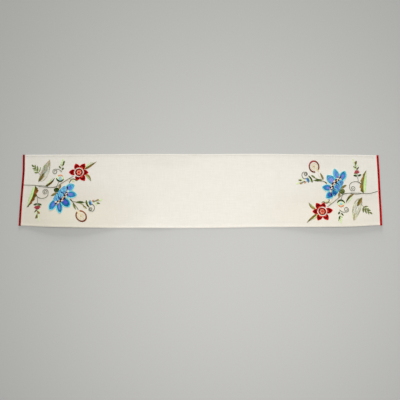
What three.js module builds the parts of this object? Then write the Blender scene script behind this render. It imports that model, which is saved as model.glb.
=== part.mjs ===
// An embroidered linen table runner, lying open on a table.
//
// Three sewn pieces: the linen panel with its two narrow side hems, and a red tape binding folded round each
// short end. Units are millimetres, +Z is up, +X runs along the runner and +Y across it, away from the side
// that a sitter faces. The origin is under the middle of the runner, on the table.

import * as THREE from 'three';

// ---- driving dimensions -------------------------------------------------------------------------------

const LENGTH = 1800;          // nominal length, over both bindings
const CLOTH = 1.1;            // thickness of the single linen
const HEM = 1.9;              // thickness of a side hem, where the linen is turned under
const HEM_WIDTH = 7;          // width of a side hem
const HEM_FALL = 1.5;         // width over which the hem's thickness falls to the single linen
const FOLD_ROUND = 0.8;       // how far in the hem's folded edge is rounded

const TAPE = 0.8;             // thickness of the binding tape
const TAPE_WIDTH = 11;        // how far each leaf of the binding reaches in from the end
const TAPE_NOSE = 1.8;        // length of the binding's rounded nose
const TAPE_OVERHANG = 0.8;    // how far the binding stands past the side hems
const TAPE_BEVEL = 0.3;       // bevel on the upper leaf's inner edge
const SEWING_GAP = 0.3;       // clearance between the linen and the tape
const TONGUE_INSET = 1.9;     // from the binding's nose to the linen's raw end inside it
const DROP_RUN = 15;          // length over which the linen comes down from the binding to the table

const STATION_STEP = 36;      // spacing of the sections along the runner
const FIELD_STRIPS = 8;       // strips across the panel between its two hems
const NOSE_STEPS = 4;         // facets round the binding's nose

const LINEN_COLOUR = '#ebe6d8';
const TAPE_COLOUR = '#a10d10';

// How the two long sides lie: a row for each place along the runner where an edge bends, with the distance from
// the centre line to the far edge (back) and to the near edge (front), in whole millimetres.
const SIDES = [
  { along: -900, back: 181, front: -180 },
  { along: -750, back: 183, front: -187 },
  { along: -600, back: 184, front: -190 },
  { along: -300, back: 187, front: -190 },
  { along: 0, back: 187, front: -189 },
  { along: 300, back: 190, front: -184 },
  { along: 600, back: 187, front: -183 },
  { along: 750, back: 187, front: -181 },
  { along: 900, back: 184, front: -173 },
];

// How the two short ends lie: a row for each place across the runner, from its near side (0) to its far side
// (1), with how far each end stands past its nominal place.
const ENDS = [
  { across: 0.0, left: 1, right: -1 },
  { across: 0.25, left: 1, right: 1 },
  { across: 0.5, left: -1, right: 1 },
  { across: 0.75, left: -3, right: 1 },
  { across: 1.0, left: 0, right: 0 },
];

// Soft waves, where a long side stands off the table: the crest's place along the runner, half the wave's
// length, how far in from the side it dies away, and its height at the side.
const WAVES = [
  { side: 'front', along: -655, half: 300, reach: 145, rise: 14 },
  { side: 'front', along: -240, half: 150, reach: 70, rise: 2.5 },
  { side: 'front', along: 700, half: 400, reach: 130, rise: 11 },
  { side: 'back', along: -170, half: 230, reach: 70, rise: 3 },
  { side: 'back', along: 610, half: 220, reach: 75, rise: 3.5 },
];

// ---- small helpers ------------------------------------------------------------------------------------

// 0 before the low value, 1 after the high one, and an S-shaped ramp between them.
function ramp(value, low, high) {
  return THREE.MathUtils.smoothstep(value, low, high);
}

// One column of a table as a smooth curve through its rows.
function curveOf(table, placeColumn, valueColumn) {
  const points = table.map((row) => new THREE.Vector2(row[placeColumn], row[valueColumn]));
  const spline = new THREE.SplineCurve(points);
  return (place) => {
    let i = 0;
    while (i < points.length - 2 && place > points[i + 1].x) i += 1;
    const local = THREE.MathUtils.clamp((place - points[i].x) / (points[i + 1].x - points[i].x), 0, 1);
    return spline.getPoint((i + local) / (points.length - 1)).y;
  };
}

const backEdge = curveOf(SIDES, 'along', 'back');
const frontEdge = curveOf(SIDES, 'along', 'front');
const leftEnd = curveOf(ENDS, 'across', 'left');
const rightEnd = curveOf(ENDS, 'across', 'right');

// Where each end's outermost line lies, for a share across the runner.
function endPlace(end, across) {
  return end === 'left' ? -LENGTH / 2 - leftEnd(across) : LENGTH / 2 + rightEnd(across);
}

// Height of the table-side face above the table, from the soft waves alone: each wave is a cosine bell along
// the side and dies away smoothly towards the middle of the cloth.
function waveLift(x, y) {
  let lift = 0;
  for (const wave of WAVES) {
    const offset = Math.abs(x - wave.along) / wave.half;
    if (offset >= 1) continue;
    const inward = wave.side === 'front' ? y - frontEdge(x) : backEdge(x) - y;
    const bell = 0.5 + 0.5 * Math.cos(Math.PI * offset);
    lift += wave.rise * bell * (1 - ramp(inward, 0, wave.reach));
  }
  return lift;
}

// A closed body from rows of point pairs: each row has as many points on its outer face as on its inner one.
function slab(rows) {
  const count = rows[0].outer.length;
  const vertices = rows.flatMap((row) => [...row.outer, ...row.inner]);
  const outer = (row, i) => row * 2 * count + i;
  const inner = (row, i) => row * 2 * count + count + i;
  const triangles = [];
  const quad = (a, b, c, d) => triangles.push(a, b, c, a, c, d);
  const last = rows.length - 1;
  for (let row = 0; row < last; row += 1) {
    for (let i = 0; i < count - 1; i += 1) {
      quad(outer(row, i), outer(row + 1, i), outer(row + 1, i + 1), outer(row, i + 1));
      quad(inner(row, i), inner(row, i + 1), inner(row + 1, i + 1), inner(row + 1, i));
    }
    quad(inner(row, 0), inner(row + 1, 0), outer(row + 1, 0), outer(row, 0));
    quad(outer(row, count - 1), outer(row + 1, count - 1), inner(row + 1, count - 1), inner(row, count - 1));
  }
  for (let i = 0; i < count - 1; i += 1) {
    quad(inner(0, i), outer(0, i), outer(0, i + 1), inner(0, i + 1));
    quad(outer(last, i), inner(last, i), inner(last, i + 1), outer(last, i + 1));
  }
  const geometry = new THREE.BufferGeometry();
  geometry.setFromPoints(vertices);
  geometry.setIndex(triangles);
  return geometry;
}

function named(name, geometry, colour, roughness) {
  const material = new THREE.MeshStandardMaterial({ color: colour, roughness, metalness: 0 });
  const mesh = new THREE.Mesh(geometry, material);
  mesh.name = name;
  return mesh;
}

// ---- linen panel with its side hems -------------------------------------------------------------------

// Thickness of the linen at a distance in from the nearer long side.
function clothThickness(inward) {
  return HEM + (CLOTH - HEM) * ramp(inward, HEM_WIDTH, HEM_WIDTH + HEM_FALL);
}

// How far the linen is held up by the binding's lower leaf, at a distance in from the runner's end.
function bindingLift(fromEnd) {
  return (TAPE + SEWING_GAP) * (1 - ramp(fromEnd, TAPE_WIDTH, TAPE_WIDTH + DROP_RUN));
}

// Distances from the near edge at which the panel's faces have a line of points, for one section's width.
function stationsAcross(width) {
  const rim = [0, FOLD_ROUND, HEM_WIDTH, HEM_WIDTH + HEM_FALL];
  const edge = HEM_WIDTH + HEM_FALL;
  const field = [];
  for (let i = 1; i < FIELD_STRIPS; i += 1) field.push(edge + (width - 2 * edge) * i / FIELD_STRIPS);
  return [...rim, ...field, ...rim.map((distance) => width - distance).reverse()];
}

// Shares of the length at which the panel has a section: close together where it leaves the bindings.
function stationsAlong() {
  const near = [0, TAPE_WIDTH - TONGUE_INSET, TAPE_WIDTH - TONGUE_INSET + DROP_RUN / 2,
    TAPE_WIDTH - TONGUE_INSET + DROP_RUN];
  const inner = near[near.length - 1];
  const clothLength = LENGTH - 2 * TONGUE_INSET;
  const cells = Math.round((clothLength - 2 * inner) / STATION_STEP);
  const middle = [];
  for (let i = 1; i < cells; i += 1) middle.push(inner + (clothLength - 2 * inner) * i / cells);
  const distances = [...near, ...middle, ...near.map((distance) => clothLength - distance).reverse()];
  return distances.map((distance) => distance / clothLength);
}

function linenPanel() {
  const rows = stationsAlong().map((share) => {
    const nominal = (share - 0.5) * LENGTH;
    const near = frontEdge(nominal);
    const width = backEdge(nominal) - near;
    const row = { outer: [], inner: [] };
    for (const distance of stationsAcross(width)) {
      const across = distance / width;
      const from = endPlace('left', across) + TONGUE_INSET;
      const to = endPlace('right', across) - TONGUE_INSET;
      const x = from + (to - from) * share;
      const y = near + distance;
      const inward = Math.min(distance, width - distance);
      const fromEnd = Math.min(x - endPlace('left', across), endPlace('right', across) - x);
      const under = waveLift(x, y) + bindingLift(fromEnd);
      const thickness = clothThickness(inward);
      const rounding = inward < FOLD_ROUND / 2 ? thickness / 4 : 0;
      row.outer.push(new THREE.Vector3(x, y, under + thickness - rounding));
      row.inner.push(new THREE.Vector3(x, y, under + rounding));
    }
    return row;
  });
  return slab(rows);
}

// ---- red tape bindings --------------------------------------------------------------------------------

// One section through a binding, as distances in from the runner's end and heights over the table: the lower
// leaf, the rounded nose and the upper leaf, on the tape's outer face and on its inner one.
function bindingSection(clothThick) {
  const height = clothThick + 2 * (TAPE + SEWING_GAP);
  const nose = (length, half) => {
    const points = [];
    for (let i = 0; i <= NOSE_STEPS; i += 1) {
      const angle = Math.PI * i / NOSE_STEPS;
      points.push([TAPE_NOSE - length * Math.sin(angle), height / 2 - half * Math.cos(angle)]);
    }
    return points;
  };
  const outer = [[TAPE_WIDTH, 0], ...nose(TAPE_NOSE, height / 2),
    [TAPE_WIDTH - TAPE_BEVEL, height], [TAPE_WIDTH, height - TAPE_BEVEL]];
  const inner = [[TAPE_WIDTH, TAPE], ...nose(TAPE_NOSE - TAPE, height / 2 - TAPE),
    [TAPE_WIDTH - TAPE_BEVEL, height - TAPE], [TAPE_WIDTH, height - TAPE]];
  return { outer, inner };
}

function binding(end) {
  const nominal = end === 'left' ? -LENGTH / 2 : LENGTH / 2;
  const inboard = end === 'left' ? 1 : -1;
  const near = frontEdge(nominal);
  const width = backEdge(nominal) - near;
  const distances = [-TAPE_OVERHANG, ...stationsAcross(width), width + TAPE_OVERHANG];
  const rows = distances.map((distance) => {
    const across = THREE.MathUtils.clamp(distance / width, 0, 1);
    const inward = Math.min(distance, width - distance);
    const section = bindingSection(clothThickness(inward));
    const place = ([fromEnd, height]) => {
      const x = endPlace(end, across) + inboard * fromEnd;
      const y = near + distance;
      return new THREE.Vector3(x, y, waveLift(x, THREE.MathUtils.clamp(y, near, near + width)) + height);
    };
    return { outer: section.outer.map(place), inner: section.inner.map(place) };
  });
  return slab(end === 'left' ? rows.reverse() : rows);
}

// ---- the runner ---------------------------------------------------------------------------------------

const runner = new THREE.Group();
runner.add(named('linen_panel', linenPanel(), LINEN_COLOUR, 0.9));
runner.add(named('binding_left', binding('left'), TAPE_COLOUR, 0.75));
runner.add(named('binding_right', binding('right'), TAPE_COLOUR, 0.75));

// Bring the middle of the footprint over the origin.
const footprint = new THREE.Box3().setFromObject(runner);
const middle = footprint.getCenter(new THREE.Vector3());
runner.position.set(-middle.x, -middle.y, -footprint.min.z);

export default runner;
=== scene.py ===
# %% [markdown]
# # An embroidered linen table runner
#
# The runner is a long piece of slubby natural-white linen that lies open on a table. Its long sides are
# turned under as narrow hems, each short end is bound with red tape, and a spray of crewel-work flowers
# grows in from each end. This lesson builds it on top of a finished CAD model, which fixes every size and
# place: the cloth, the tapes and the stitches are new surfaces, worked out with numpy and put where the CAD
# model says.

# %% Load the frame
import math

import bpy
import numpy as np
from mathutils import Matrix


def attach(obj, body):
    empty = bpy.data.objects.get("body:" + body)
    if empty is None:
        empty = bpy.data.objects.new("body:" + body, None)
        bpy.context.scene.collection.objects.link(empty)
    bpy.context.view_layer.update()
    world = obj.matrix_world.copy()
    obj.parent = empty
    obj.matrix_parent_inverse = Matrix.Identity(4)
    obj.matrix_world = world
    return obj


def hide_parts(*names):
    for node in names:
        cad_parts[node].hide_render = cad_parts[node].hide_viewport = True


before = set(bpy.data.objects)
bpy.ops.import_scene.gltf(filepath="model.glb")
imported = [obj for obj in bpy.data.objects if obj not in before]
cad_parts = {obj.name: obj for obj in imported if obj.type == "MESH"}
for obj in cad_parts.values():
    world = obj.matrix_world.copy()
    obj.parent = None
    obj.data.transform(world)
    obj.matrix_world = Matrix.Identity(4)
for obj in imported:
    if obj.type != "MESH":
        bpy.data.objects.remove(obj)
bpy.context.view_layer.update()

MM = 0.001                      # the lesson measures cloth and yarn in millimetres, Blender in metres

# %% [markdown]
# ## Camera
#
# The camera comes first, because every later choice is seen through it. It hangs almost straight over the
# runner, three metres up and a little to the near side, with a normal lens, so the near long side looks a
# little longer than the far one.

# %% Camera
CAMERA_PLACE = (-0.003, -0.578, 2.951)
CAMERA_LENS = 54                      # in mm, for a frame 36 mm wide
CAMERA_TILT = math.radians(10.19)     # from straight down, towards the far side
CAMERA_ROLL = math.radians(0.18)

camera = bpy.data.objects.new("camera", bpy.data.cameras.new("camera"))
camera.data.lens = CAMERA_LENS
camera.matrix_world = (Matrix.Translation(CAMERA_PLACE) @ Matrix.Rotation(CAMERA_TILT, 4, "X")
                       @ Matrix.Rotation(CAMERA_ROLL, 4, "Z"))
bpy.context.scene.collection.objects.link(camera)
bpy.context.scene.camera = camera
print("camera at", CAMERA_PLACE, "with a lens of", CAMERA_LENS, "mm")

# %% [markdown]
# ## Light and table
#
# Cloth shows its weave under soft light. One large lamp hangs over the runner, a little right of its
# middle, so the table is brightest there and falls off towards the corners. A weak, wide lamp stands low
# behind the far side: its flat light gives the raised stretches of the near side their long, faint shadows.
# The world adds an even grey. The table is a plain pale grey sheet: it is stage, not part of the object.

# %% Light
LAMPS = {  # place, size, power, the point it faces, tint
    "main_lamp": ((0.18, -0.34, 2.0), 1.3, 34.5, (0.18, -0.34, 0), (1.0, 0.97, 0.955)),
    "far_side_lamp": ((-0.1, 8.0, 1.6), 3.2, 620, (0, 0, 0), (1.0, 0.98, 0.96))}
WORLD_COLOUR = (0.96, 1.0, 0.97, 1)
WORLD_STRENGTH = 0.24


def soft_lamp(name, place, size, power, aim, tint):
    """A square area lamp at a place, turned so that its face looks at the aim. The camera doesn't see it."""
    lamp = bpy.data.objects.new(name, bpy.data.lights.new(name, "AREA"))
    lamp.data.size = size
    lamp.data.energy = power
    lamp.data.color = tint
    heading = Matrix.Translation(aim).translation - Matrix.Translation(place).translation
    lamp.location = place
    lamp.rotation_euler = heading.to_track_quat("-Z", "Y").to_euler()
    lamp.visible_camera = False
    bpy.context.scene.collection.objects.link(lamp)


for name, values in LAMPS.items():
    soft_lamp(name, *values)

world = bpy.data.worlds.new("studio")
world.use_nodes = True
sky = world.node_tree.nodes["Background"].inputs
sky["Color"].default_value = WORLD_COLOUR
sky["Strength"].default_value = WORLD_STRENGTH
bpy.context.scene.world = world
bpy.context.scene.view_settings.view_transform = "Standard"
print("lamps:", list(LAMPS))

# %% Table
TABLE_SPAN = 7.0
TABLE_GREY = (0.508, 0.512, 0.5, 1)
TABLE_ROUGHNESS = 0.85

bpy.ops.mesh.primitive_plane_add(size=TABLE_SPAN)
table = bpy.context.object
table.name = "table"
table_finish = bpy.data.materials.new("table_grey")
table_finish.use_nodes = True
table_shader = table_finish.node_tree.nodes["Principled BSDF"]
table_shader.inputs["Base Color"].default_value = TABLE_GREY
table_shader.inputs["Roughness"].default_value = TABLE_ROUGHNESS
table.data.materials.append(table_finish)
print("table:", TABLE_SPAN, "m square")

# %% [markdown]
# ## How the runner lies
#
# A cloth laid out by hand is never a true rectangle. Its outline is kept as two short tables: where the two
# long sides run, and how far each short end stands out. A third table lists the soft waves where a long
# side stands off the table. A smooth curve goes through each table's rows, so one array call answers for
# any number of places, and the cloth, the tapes and every stitch can ask the same functions how high the
# linen lies.

# %% The outline and the waves
LENGTH = 1800.0
HALF = LENGTH / 2

SIDES = np.array([  # along the runner, far edge, near edge
    (-900, 181, -180), (-750, 183, -187), (-600, 184, -190), (-300, 187, -190), (0, 187, -189),
    (300, 190, -184), (600, 187, -183), (750, 187, -181), (900, 184, -173)])
ENDS = np.array([  # share of the width from the near side, left end's and right end's extra length
    (0.0, 1, -1), (0.25, 1, 1), (0.5, -1, 1), (0.75, -3, 1), (1.0, 0, 0)])
WAVES = [  # side, crest's place along the runner, half length, reach inwards, height at the side
    ("near", -655, 300, 145, 14), ("near", -240, 150, 70, 2.5), ("near", 700, 400, 130, 11),
    ("far", -170, 230, 70, 3), ("far", 610, 220, 75, 3.5)]


def ramp(value, low, high):
    """0 before low, 1 after high and an S between: 3t^2 - 2t^3, with t the share of the way."""
    t = np.clip((value - low) / (high - low), 0, 1)
    return t * t * (3 - 2 * t)


def through(places, values, at):
    """A smooth curve through (places, values), read at any places: on each stretch a cubic whose slope at a
    row is half the difference of the values on both sides of it."""
    i = np.clip(np.searchsorted(places, at, side="right") - 1, 0, len(places) - 2)
    t = np.clip((at - places[i]) / (places[i + 1] - places[i]), 0, 1)
    padded = np.concatenate([values[:1], values, values[-1:]])
    before, start, end, after = padded[i], padded[i + 1], padded[i + 2], padded[i + 3]
    slope_in, slope_out = (end - before) / 2, (after - start) / 2
    return ((2 * start - 2 * end + slope_in + slope_out) * t ** 3
            + (3 * end - 3 * start - 2 * slope_in - slope_out) * t ** 2 + slope_in * t + start)


def far_edge(x):
    """Where the far long side runs at a place along the runner."""
    return through(SIDES[:, 0], SIDES[:, 1], x)


def near_edge(x):
    """Where the near long side runs at a place along the runner."""
    return through(SIDES[:, 0], SIDES[:, 2], x)


def left_end(across):
    """Where the left end lies, at a share of the width from the near side."""
    return -HALF - through(ENDS[:, 0], ENDS[:, 1], across)


def right_end(across):
    """Where the right end lies, at a share of the width from the near side."""
    return HALF + through(ENDS[:, 0], ENDS[:, 2], across)


def wave_lift(x, y):
    """Height of the cloth's underside: a wave is a cosine bell along its side and falls inwards as an S."""
    lift = np.zeros(np.broadcast(x, y).shape)
    for side, crest, half, reach, rise in WAVES:
        inward = y - near_edge(x) if side == "near" else far_edge(x) - y
        bell = 0.5 + 0.5 * np.cos(np.pi * np.clip(np.abs(x - crest) / half, 0, 1))
        lift = lift + rise * bell * (1 - ramp(inward, 0, reach))
    return lift


print("widths from left to right in mm:", np.round(far_edge(SIDES[::2, 0]) - near_edge(SIDES[::2, 0])))

# %% [markdown]
# ## From arrays to a mesh
#
# Every piece below is an array of points and an array of quads. `foreach_set` hands both to Blender in one
# go, which takes a blink even for a hundred thousand points. Two sheets that share their border points make
# a closed cloth: the top faces look up, the bottom ones down, and nothing is left open.

# %% Meshes from arrays
def add_piece(name, places_mm, quads, material=None):
    """One smooth-shaded object from points in millimetres and quads of point numbers, which rides on the
    root body."""
    mesh = bpy.data.meshes.new(name)
    mesh.vertices.add(len(places_mm))
    mesh.vertices.foreach_set("co", (places_mm * MM).astype(np.float32).ravel())
    mesh.loops.add(quads.size)
    mesh.loops.foreach_set("vertex_index", quads.astype(np.int32).ravel())
    mesh.polygons.add(len(quads))
    mesh.polygons.foreach_set("loop_start", np.arange(0, quads.size, 4, dtype=np.int32))
    mesh.polygons.foreach_set("use_smooth", np.ones(len(quads), bool))
    mesh.update(calc_edges=True)
    piece = bpy.data.objects.new(name, mesh)
    bpy.context.scene.collection.objects.link(piece)
    if material:
        mesh.materials.append(material)
    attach(piece, "root")
    return piece


def add_uv(piece, name, corners):
    """A UV map from one pair of numbers for each corner of each quad."""
    layer = piece.data.uv_layers.new(name=name)
    layer.uv.foreach_set("vector", np.asarray(corners, np.float32).ravel())


def grid_quads(numbers):
    """Quads between neighbours in a two-way table of point numbers, wound so that rows x columns is up."""
    corners = numbers[:-1, :-1], numbers[1:, :-1], numbers[1:, 1:], numbers[:-1, 1:]
    return np.stack(corners, -1).reshape(-1, 4)


print("a sheet of 3 x 4 points has", len(grid_quads(np.arange(12).reshape(3, 4))), "quads")

# %% [markdown]
# ## Colour, weave and twist as node groups
#
# Linen, tape and yarn are all spun thread, so they share a few effects, and each effect is a shader node
# group with named sockets. `plain_weave` crosses two sets of rounded threads, `slubs` makes the thick and
# thin places of hand-spun flax as long streaks both ways, and `ply_twist` winds two plies round each other
# along a yarn. The groups only put out masks and heights. The Principled shader stays in each material.

# %% Node helpers
def dye(red, green, blue):
    """A colour named by its everyday 0-255 values, as the linear colour that a shader wants."""
    share = np.array([red, green, blue]) / 255
    return np.where(share <= 0.04045, share / 12.92, ((share + 0.055) / 1.055) ** 2.4)


def new_group(name, inputs, outputs):
    """An empty shader node group with its sockets: (name, kind, default) in, (name, kind) out."""
    group = bpy.data.node_groups.new(name, "ShaderNodeTree")
    for label, kind, default in inputs:
        socket = group.interface.new_socket(label, in_out="INPUT", socket_type=kind)
        if default is not None:
            socket.default_value = default
    for label, kind in outputs:
        group.interface.new_socket(label, in_out="OUTPUT", socket_type=kind)
    return group, group.nodes.new("NodeGroupInput"), group.nodes.new("NodeGroupOutput")


def add_node(tree, kind, settings=None, **links):
    """A node with its settings. A link named by an input takes an output socket or a plain value."""
    node = tree.nodes.new(kind)
    for key, value in (settings or {}).items():
        setattr(node, key, value)
    for key, value in links.items():
        socket = node.inputs[int(key[1:])] if key[0] == "_" else node.inputs[key.replace("_", " ")]
        if isinstance(value, bpy.types.NodeSocket):
            tree.links.new(value, socket)
        else:
            socket.default_value = value
    return node


def maths(tree, operation, *values):
    """One step of arithmetic on sockets or numbers."""
    links = {f"_{i}": value for i, value in enumerate(values)}
    return add_node(tree, "ShaderNodeMath", {"operation": operation}, **links).outputs[0]


def blend_colours(tree, share, first, second, mode="MIX"):
    """first where share is 0 and second where it is 1, through a blend mode."""
    node = add_node(tree, "ShaderNodeMix", {"data_type": "RGBA", "blend_type": mode},
                    _0=share, _6=first, _7=second)
    return node.outputs[2]


def colour(*everyday):
    """A dye as a four-number shader colour."""
    return (*dye(*everyday), 1)


print("middle grey in linear light:", np.round(dye(128, 128, 128), 3))

# %% Plain weave
def make_plain_weave():
    """Threads a pitch apart both ways. Across one thread the height is |sin|, and which one lies over
    follows the product of two sines, so neighbours alternate."""
    group, given, result = new_group(
        "plain_weave",
        [("Vector", "NodeSocketVector", None), ("Warp Pitch", "NodeSocketFloat", 0.0009),
         ("Weft Pitch", "NodeSocketFloat", 0.0009)],
        [("Height", "NodeSocketFloat"), ("Over", "NodeSocketFloat")])
    parts = add_node(group, "ShaderNodeSeparateXYZ", Vector=given.outputs["Vector"])
    turn_x, turn_y = (
        maths(group, "DIVIDE", maths(group, "MULTIPLY", parts.outputs[way], math.pi), given.outputs[pitch])
        for way, pitch in (("X", "Warp Pitch"), ("Y", "Weft Pitch")))
    sines = maths(group, "MULTIPLY", maths(group, "SINE", turn_x), maths(group, "SINE", turn_y))
    over = maths(group, "MULTIPLY_ADD", sines, 0.5, 0.5)
    warp = maths(group, "ABSOLUTE", maths(group, "SINE", turn_x))
    weft = maths(group, "ABSOLUTE", maths(group, "SINE", turn_y))
    height = maths(group, "ADD", maths(group, "MULTIPLY", warp, over),
                   maths(group, "MULTIPLY", weft, maths(group, "SUBTRACT", 1.0, over)))
    group.links.new(height, result.inputs["Height"])
    group.links.new(over, result.inputs["Over"])
    return group


PLAIN_WEAVE = make_plain_weave()
print("plain weave:", len(PLAIN_WEAVE.nodes), "nodes")

# %% Slubs
def make_slubs():
    """Uneven yarn: two noises, each drawn out along one way of the cloth, added and centred on zero."""
    group, given, result = new_group(
        "slubs",
        [("Vector", "NodeSocketVector", None), ("Fineness", "NodeSocketFloat", 160.0),
         ("Stretch", "NodeSocketFloat", 9.0)],
        [("Streaks", "NodeSocketFloat"), ("Mottle", "NodeSocketFloat")])
    streaks = []
    for seed, long_way in ((3.0, "X"), (11.0, "Y")):
        parts = add_node(group, "ShaderNodeSeparateXYZ", Vector=given.outputs["Vector"])
        shrink = {way: parts.outputs[way] for way in "XY"}
        shrink[long_way] = maths(group, "DIVIDE", parts.outputs[long_way], given.outputs["Stretch"])
        place = add_node(group, "ShaderNodeCombineXYZ", X=shrink["X"], Y=shrink["Y"], Z=seed)
        noise = add_node(group, "ShaderNodeTexNoise", Vector=place.outputs[0],
                         Scale=given.outputs["Fineness"], Detail=3.0, Roughness=0.6)
        streaks.append(maths(group, "SUBTRACT", noise.outputs["Fac"], 0.5))
    both = maths(group, "ADD", *streaks)
    cloudy = add_node(group, "ShaderNodeTexNoise", Vector=given.outputs["Vector"], Scale=14.0, Detail=4.0,
                      Roughness=0.55)
    group.links.new(both, result.inputs["Streaks"])
    group.links.new(maths(group, "SUBTRACT", cloudy.outputs["Fac"], 0.5), result.inputs["Mottle"])
    return group


SLUBS = make_slubs()
print("slubs:", len(SLUBS.nodes), "nodes")

# %% Ply twist
def make_ply_twist():
    """Plies wound round a yarn: |sin| of the distance along it times the turns, plus the way round it."""
    group, given, result = new_group(
        "ply_twist",
        [("Along and Round", "NodeSocketVector", None), ("Turns", "NodeSocketFloat", 0.5),
         ("Plies", "NodeSocketFloat", 2.0)],
        [("Height", "NodeSocketFloat"), ("Groove", "NodeSocketFloat")])
    parts = add_node(group, "ShaderNodeSeparateXYZ", Vector=given.outputs["Along and Round"])
    wound = maths(group, "MULTIPLY_ADD", parts.outputs["X"], given.outputs["Turns"],
                  maths(group, "MULTIPLY", parts.outputs["Y"], given.outputs["Plies"]))
    height = maths(group, "ABSOLUTE", maths(group, "SINE", maths(group, "MULTIPLY", wound, math.pi)))
    groove = maths(group, "POWER", maths(group, "SUBTRACT", 1.0, height), 3.0)
    group.links.new(height, result.inputs["Height"])
    group.links.new(groove, result.inputs["Groove"])
    return group


PLY_TWIST = make_ply_twist()
print("ply twist:", len(PLY_TWIST.nodes), "nodes")

# %% Materials of thread
SHEEN_ROUGHNESS = 0.5


def new_material(name, roughness, sheen, gloss=0.15):
    """A material whose Principled shader has plain cloth values, with its tree and its shader."""
    material = bpy.data.materials.new(name)
    material.use_nodes = True
    shader = material.node_tree.nodes["Principled BSDF"]
    shader.inputs["Roughness"].default_value = roughness
    shader.inputs["Sheen Weight"].default_value = sheen
    shader.inputs["Sheen Roughness"].default_value = SHEEN_ROUGHNESS
    shader.inputs["Specular IOR Level"].default_value = gloss
    return material, material.node_tree, shader


print("node groups:", [group.name for group in bpy.data.node_groups])

# %% [markdown]
# ## The linen
#
# Natural-white flax is a warm off-white with fine darker and lighter streaks both ways, where the yarn was
# spun thick or thin. Painted shade darkens and yellows a soft oval at each near corner, deeper at the left
# end. It lies in the cloth's own coordinates, so it stays on the cloth from every side. Fine weave is bump,
# because its threads are under a millimetre apart.

# %% Linen material
FLAX, FLAX_STREAK, FLAX_CLOUD = colour(232, 229, 222), colour(215, 210, 197), colour(225, 221, 209)
# painted shade: the darker, yellower tone laid over each near corner of the linen
FLAX_PAINTED_SHADE = colour(208, 202, 182)
OVAL_SCALE = 2.2, 5.0           # along and across: the middle of the painted-shade oval lies where scale x place + shift is 0 both ways
OVAL_SHIFT = -1.56, 0.65        # where scale x place + shift is 0 both ways


def make_linen():
    """Flax with streaks along both threads and soft clouds, darkened and yellowed by painted shade in an oval
    at each near corner, and the weave and the streaks as bump."""
    material, tree, shader = new_material("linen_natural_white", roughness=0.88, sheen=0.12)
    place = add_node(tree, "ShaderNodeTexCoord").outputs["Object"]
    weave = add_node(tree, "ShaderNodeGroup", {"node_tree": PLAIN_WEAVE}, Vector=place,
                     Warp_Pitch=0.00085, Weft_Pitch=0.00095)
    slub = add_node(tree, "ShaderNodeGroup", {"node_tree": SLUBS}, Vector=place, Fineness=150.0, Stretch=8.0)
    streaks = maths(tree, "MULTIPLY_ADD", slub.outputs["Streaks"], 0.7, 0.16)
    streaky = blend_colours(tree, streaks, FLAX, FLAX_STREAK)
    clouds = maths(tree, "MULTIPLY_ADD", slub.outputs["Mottle"], 0.8, 0.15)
    cloudy = blend_colours(tree, clouds, streaky, FLAX_CLOUD)
    parts = add_node(tree, "ShaderNodeSeparateXYZ", Vector=place)
    from_middle = maths(tree, "ABSOLUTE", parts.outputs["X"])
    to_end = maths(tree, "MULTIPLY_ADD", from_middle, OVAL_SCALE[0], OVAL_SHIFT[0])
    to_near_side = maths(tree, "MULTIPLY_ADD", parts.outputs["Y"], OVAL_SCALE[1], OVAL_SHIFT[1])
    oval = add_node(tree, "ShaderNodeCombineXYZ", X=to_end, Y=to_near_side)
    distance = add_node(tree, "ShaderNodeVectorMath", {"operation": "LENGTH"}, Vector=oval.outputs[0])
    # painted shade: strength of the near-corner oval, greater at the left end
    depth = maths(tree, "MULTIPLY_ADD", parts.outputs["X"], -0.16, 0.5)
    painted_shade_oval = add_node(tree, "ShaderNodeMapRange", {"interpolation_type": "SMOOTHSTEP"},
                    Value=distance.outputs["Value"], From_Min=0.1, From_Max=1.2, To_Min=depth, To_Max=0.0)
    tone = blend_colours(tree, painted_shade_oval.outputs[0], cloudy, FLAX_PAINTED_SHADE)
    tree.links.new(tone, shader.inputs["Base Color"])
    height = maths(tree, "MULTIPLY_ADD", slub.outputs["Streaks"], 0.8, weave.outputs["Height"])
    bump = add_node(tree, "ShaderNodeBump", Height=height, Strength=0.5, Distance=0.00025)
    tree.links.new(bump.outputs[0], shader.inputs["Normal"])
    return material


LINEN = make_linen()
print("linen:", len(LINEN.node_tree.nodes), "shader nodes")

# %% [markdown]
# The panel itself is a grid of sections along and across the runner. Its lines are close together at the
# folded edges and where the cloth drops from the bindings, and wide apart in the middle. The hem is the
# same cloth turned under, so there the sheet is three layers thick, with a shallow hollow beside it where
# the single cloth comes down to the table.

# %% Linen panel
CLOTH = 0.9                     # single linen
HEM = 1.9                       # linen turned under, three layers
HEM_WIDTH = 7.0
HEM_FALL = 1.5                  # run over which the hem thins to single linen
HOLLOW = 0.45                   # how far the single linen stays off the table beside a hem,
HOLLOW_RUN = 2.0, 12.0          # and where it comes down again, from the hem's inner edge
TAPE = 0.8
TAPE_WIDTH = 11.0
SEWING_GAP = 0.3                # between the linen and each leaf of the tape
TONGUE_INSET = 1.9              # from the runner's end to the linen's raw edge inside the tape
DROP_RUN = 15.0                 # run over which the linen comes down from the tape to the table
RIPPLE = 0.35                   # height of the cloth's faint unevenness,
RIPPLE_WAVES = 46, 63, 85, 118, 160, 210
RIPPLE_FROM_SIDE = 30.0         # which is full this far from a side,
RIPPLE_FROM_END = 25.0, 60.0    # and grows between these distances from an end


def cloth_thickness(inward):
    """Hem thickness along a side, and that of single linen further in, with an S between."""
    return HEM + (CLOTH - HEM) * ramp(inward, HEM_WIDTH, HEM_WIDTH + HEM_FALL)


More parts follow.
